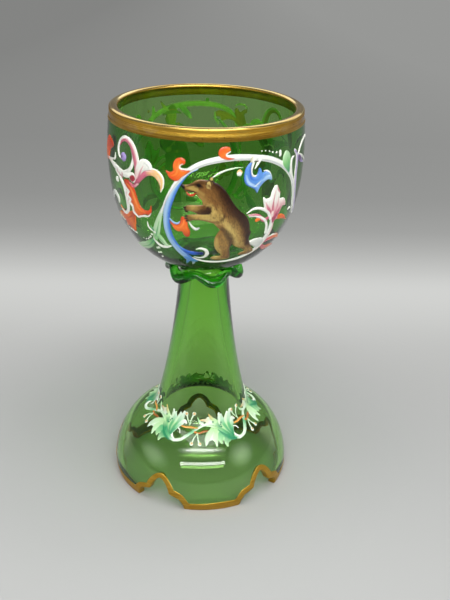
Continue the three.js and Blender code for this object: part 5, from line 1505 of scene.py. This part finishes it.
    patch(low, [(-6, -7.4), (-10, -6), (-16, -4), (-22, -2.6), (-27, -3.4), (-30, -6), (-29.6, -7.4),
                (-26, -7), (-23, -8), (-20.6, -7.4), (-17.4, -7.8), (-14.6, -7.6), (-12.4, -8.8), (-9, -8.2)],
          [GRASS, LIME, FROST], (-8, -7), (-29, -7))
    stroke(low, [(-6, -7.6), (-12, -5.6), (-17, -3.6), (-22, -2.4)], [1.6, 3.0, 3.2, 1.4],
           [PINE, GRASS, LIME])
    stroke(low, [(-24, -2.4), (-28, -4.4), (-30.6, -6.6), (-31, -8.8)], [1.8, 2.3, 2.0, 0.6], [LIME, FOAM])
    stroke(low, [(-20, -4), (-23, -6.4), (-22.6, -9.2)], [2.4, 2.2, 0.7], [LIME, tone(190, 225, 180)])
    stroke(low, [(-16, -5), (-18, -7), (-17.6, -8.6)], [2.2, 2.0, 0.6], [GRASS, LIME])
    stroke(low, [(-11, -6.4), (-13.4, -8.2), (-13, -10)], [2.0, 2.0, 0.7], [PINE, LIME])
    stroke(low, [(-4, -8.2), (-9, -7.4), (-14, -5), (-18, -3)], [0.8, 1.2, 1.0, 0.4],
           [tone(25, 120, 80), PINE])


for number in range(1, GARLAND_WAVES + 1):
    paint_wave(number)


# All enamel has one finish: a fired, slightly uneven gloss over the colour that the brush left.
def enamel_finish(name, roughness):
    """A glossy enamel whose colour is the paint laid on the piece."""
    finish = bpy.data.materials.new(name)
    finish.use_nodes = True
    tree = finish.node_tree
    shader = tree.nodes["Principled BSDF"]
    shader.inputs["Roughness"].default_value = roughness
    paint = add_node(tree, "VertexColor", {}, layer_name="paint")
    tree.links.new(paint.outputs["Color"], shader.inputs["Base Color"])
    place = add_node(tree, "TexCoord", {}).outputs["Object"]
    grain = add_node(tree, "TexNoise", {"Vector": place, "Scale": 1400, "Detail": 3}).outputs["Fac"]
    bump = add_node(tree, "Bump", {"Height": grain, "Strength": 0.25, "Distance": 0.00006})
    tree.links.new(bump.outputs["Normal"], shader.inputs["Normal"])
    return finish


gloss_enamel = enamel_finish("fired enamel", 0.3)
SLOTS = {
    "scroll_vine": "enamel_white",
    "inner_vine": "enamel_blue",
    "blue_leaf": "enamel_blue",
    "orange_leaf_high": "enamel_orange",
    "orange_leaf_low": "enamel_orange",
    "pink_acanthus": "enamel_pink",
    "pink_stem": "enamel_pink",
    "side_vine": "enamel_white",
    "side_flower": "enamel_pink",
    "side_leaf": "enamel_orange",
    "low_acanthus": "enamel_mint",
    "bear": "enamel_brown",
    "hunter": "enamel_coat",
}
for painted in bowl_paint.names:
    bowl_paint.piece(painted, SLOTS[painted.split("_", 1)[1]], painted, gloss_enamel)
for painted in garland_paint.names:
    garland_paint.piece(painted, "enamel_mint", painted, gloss_enamel)
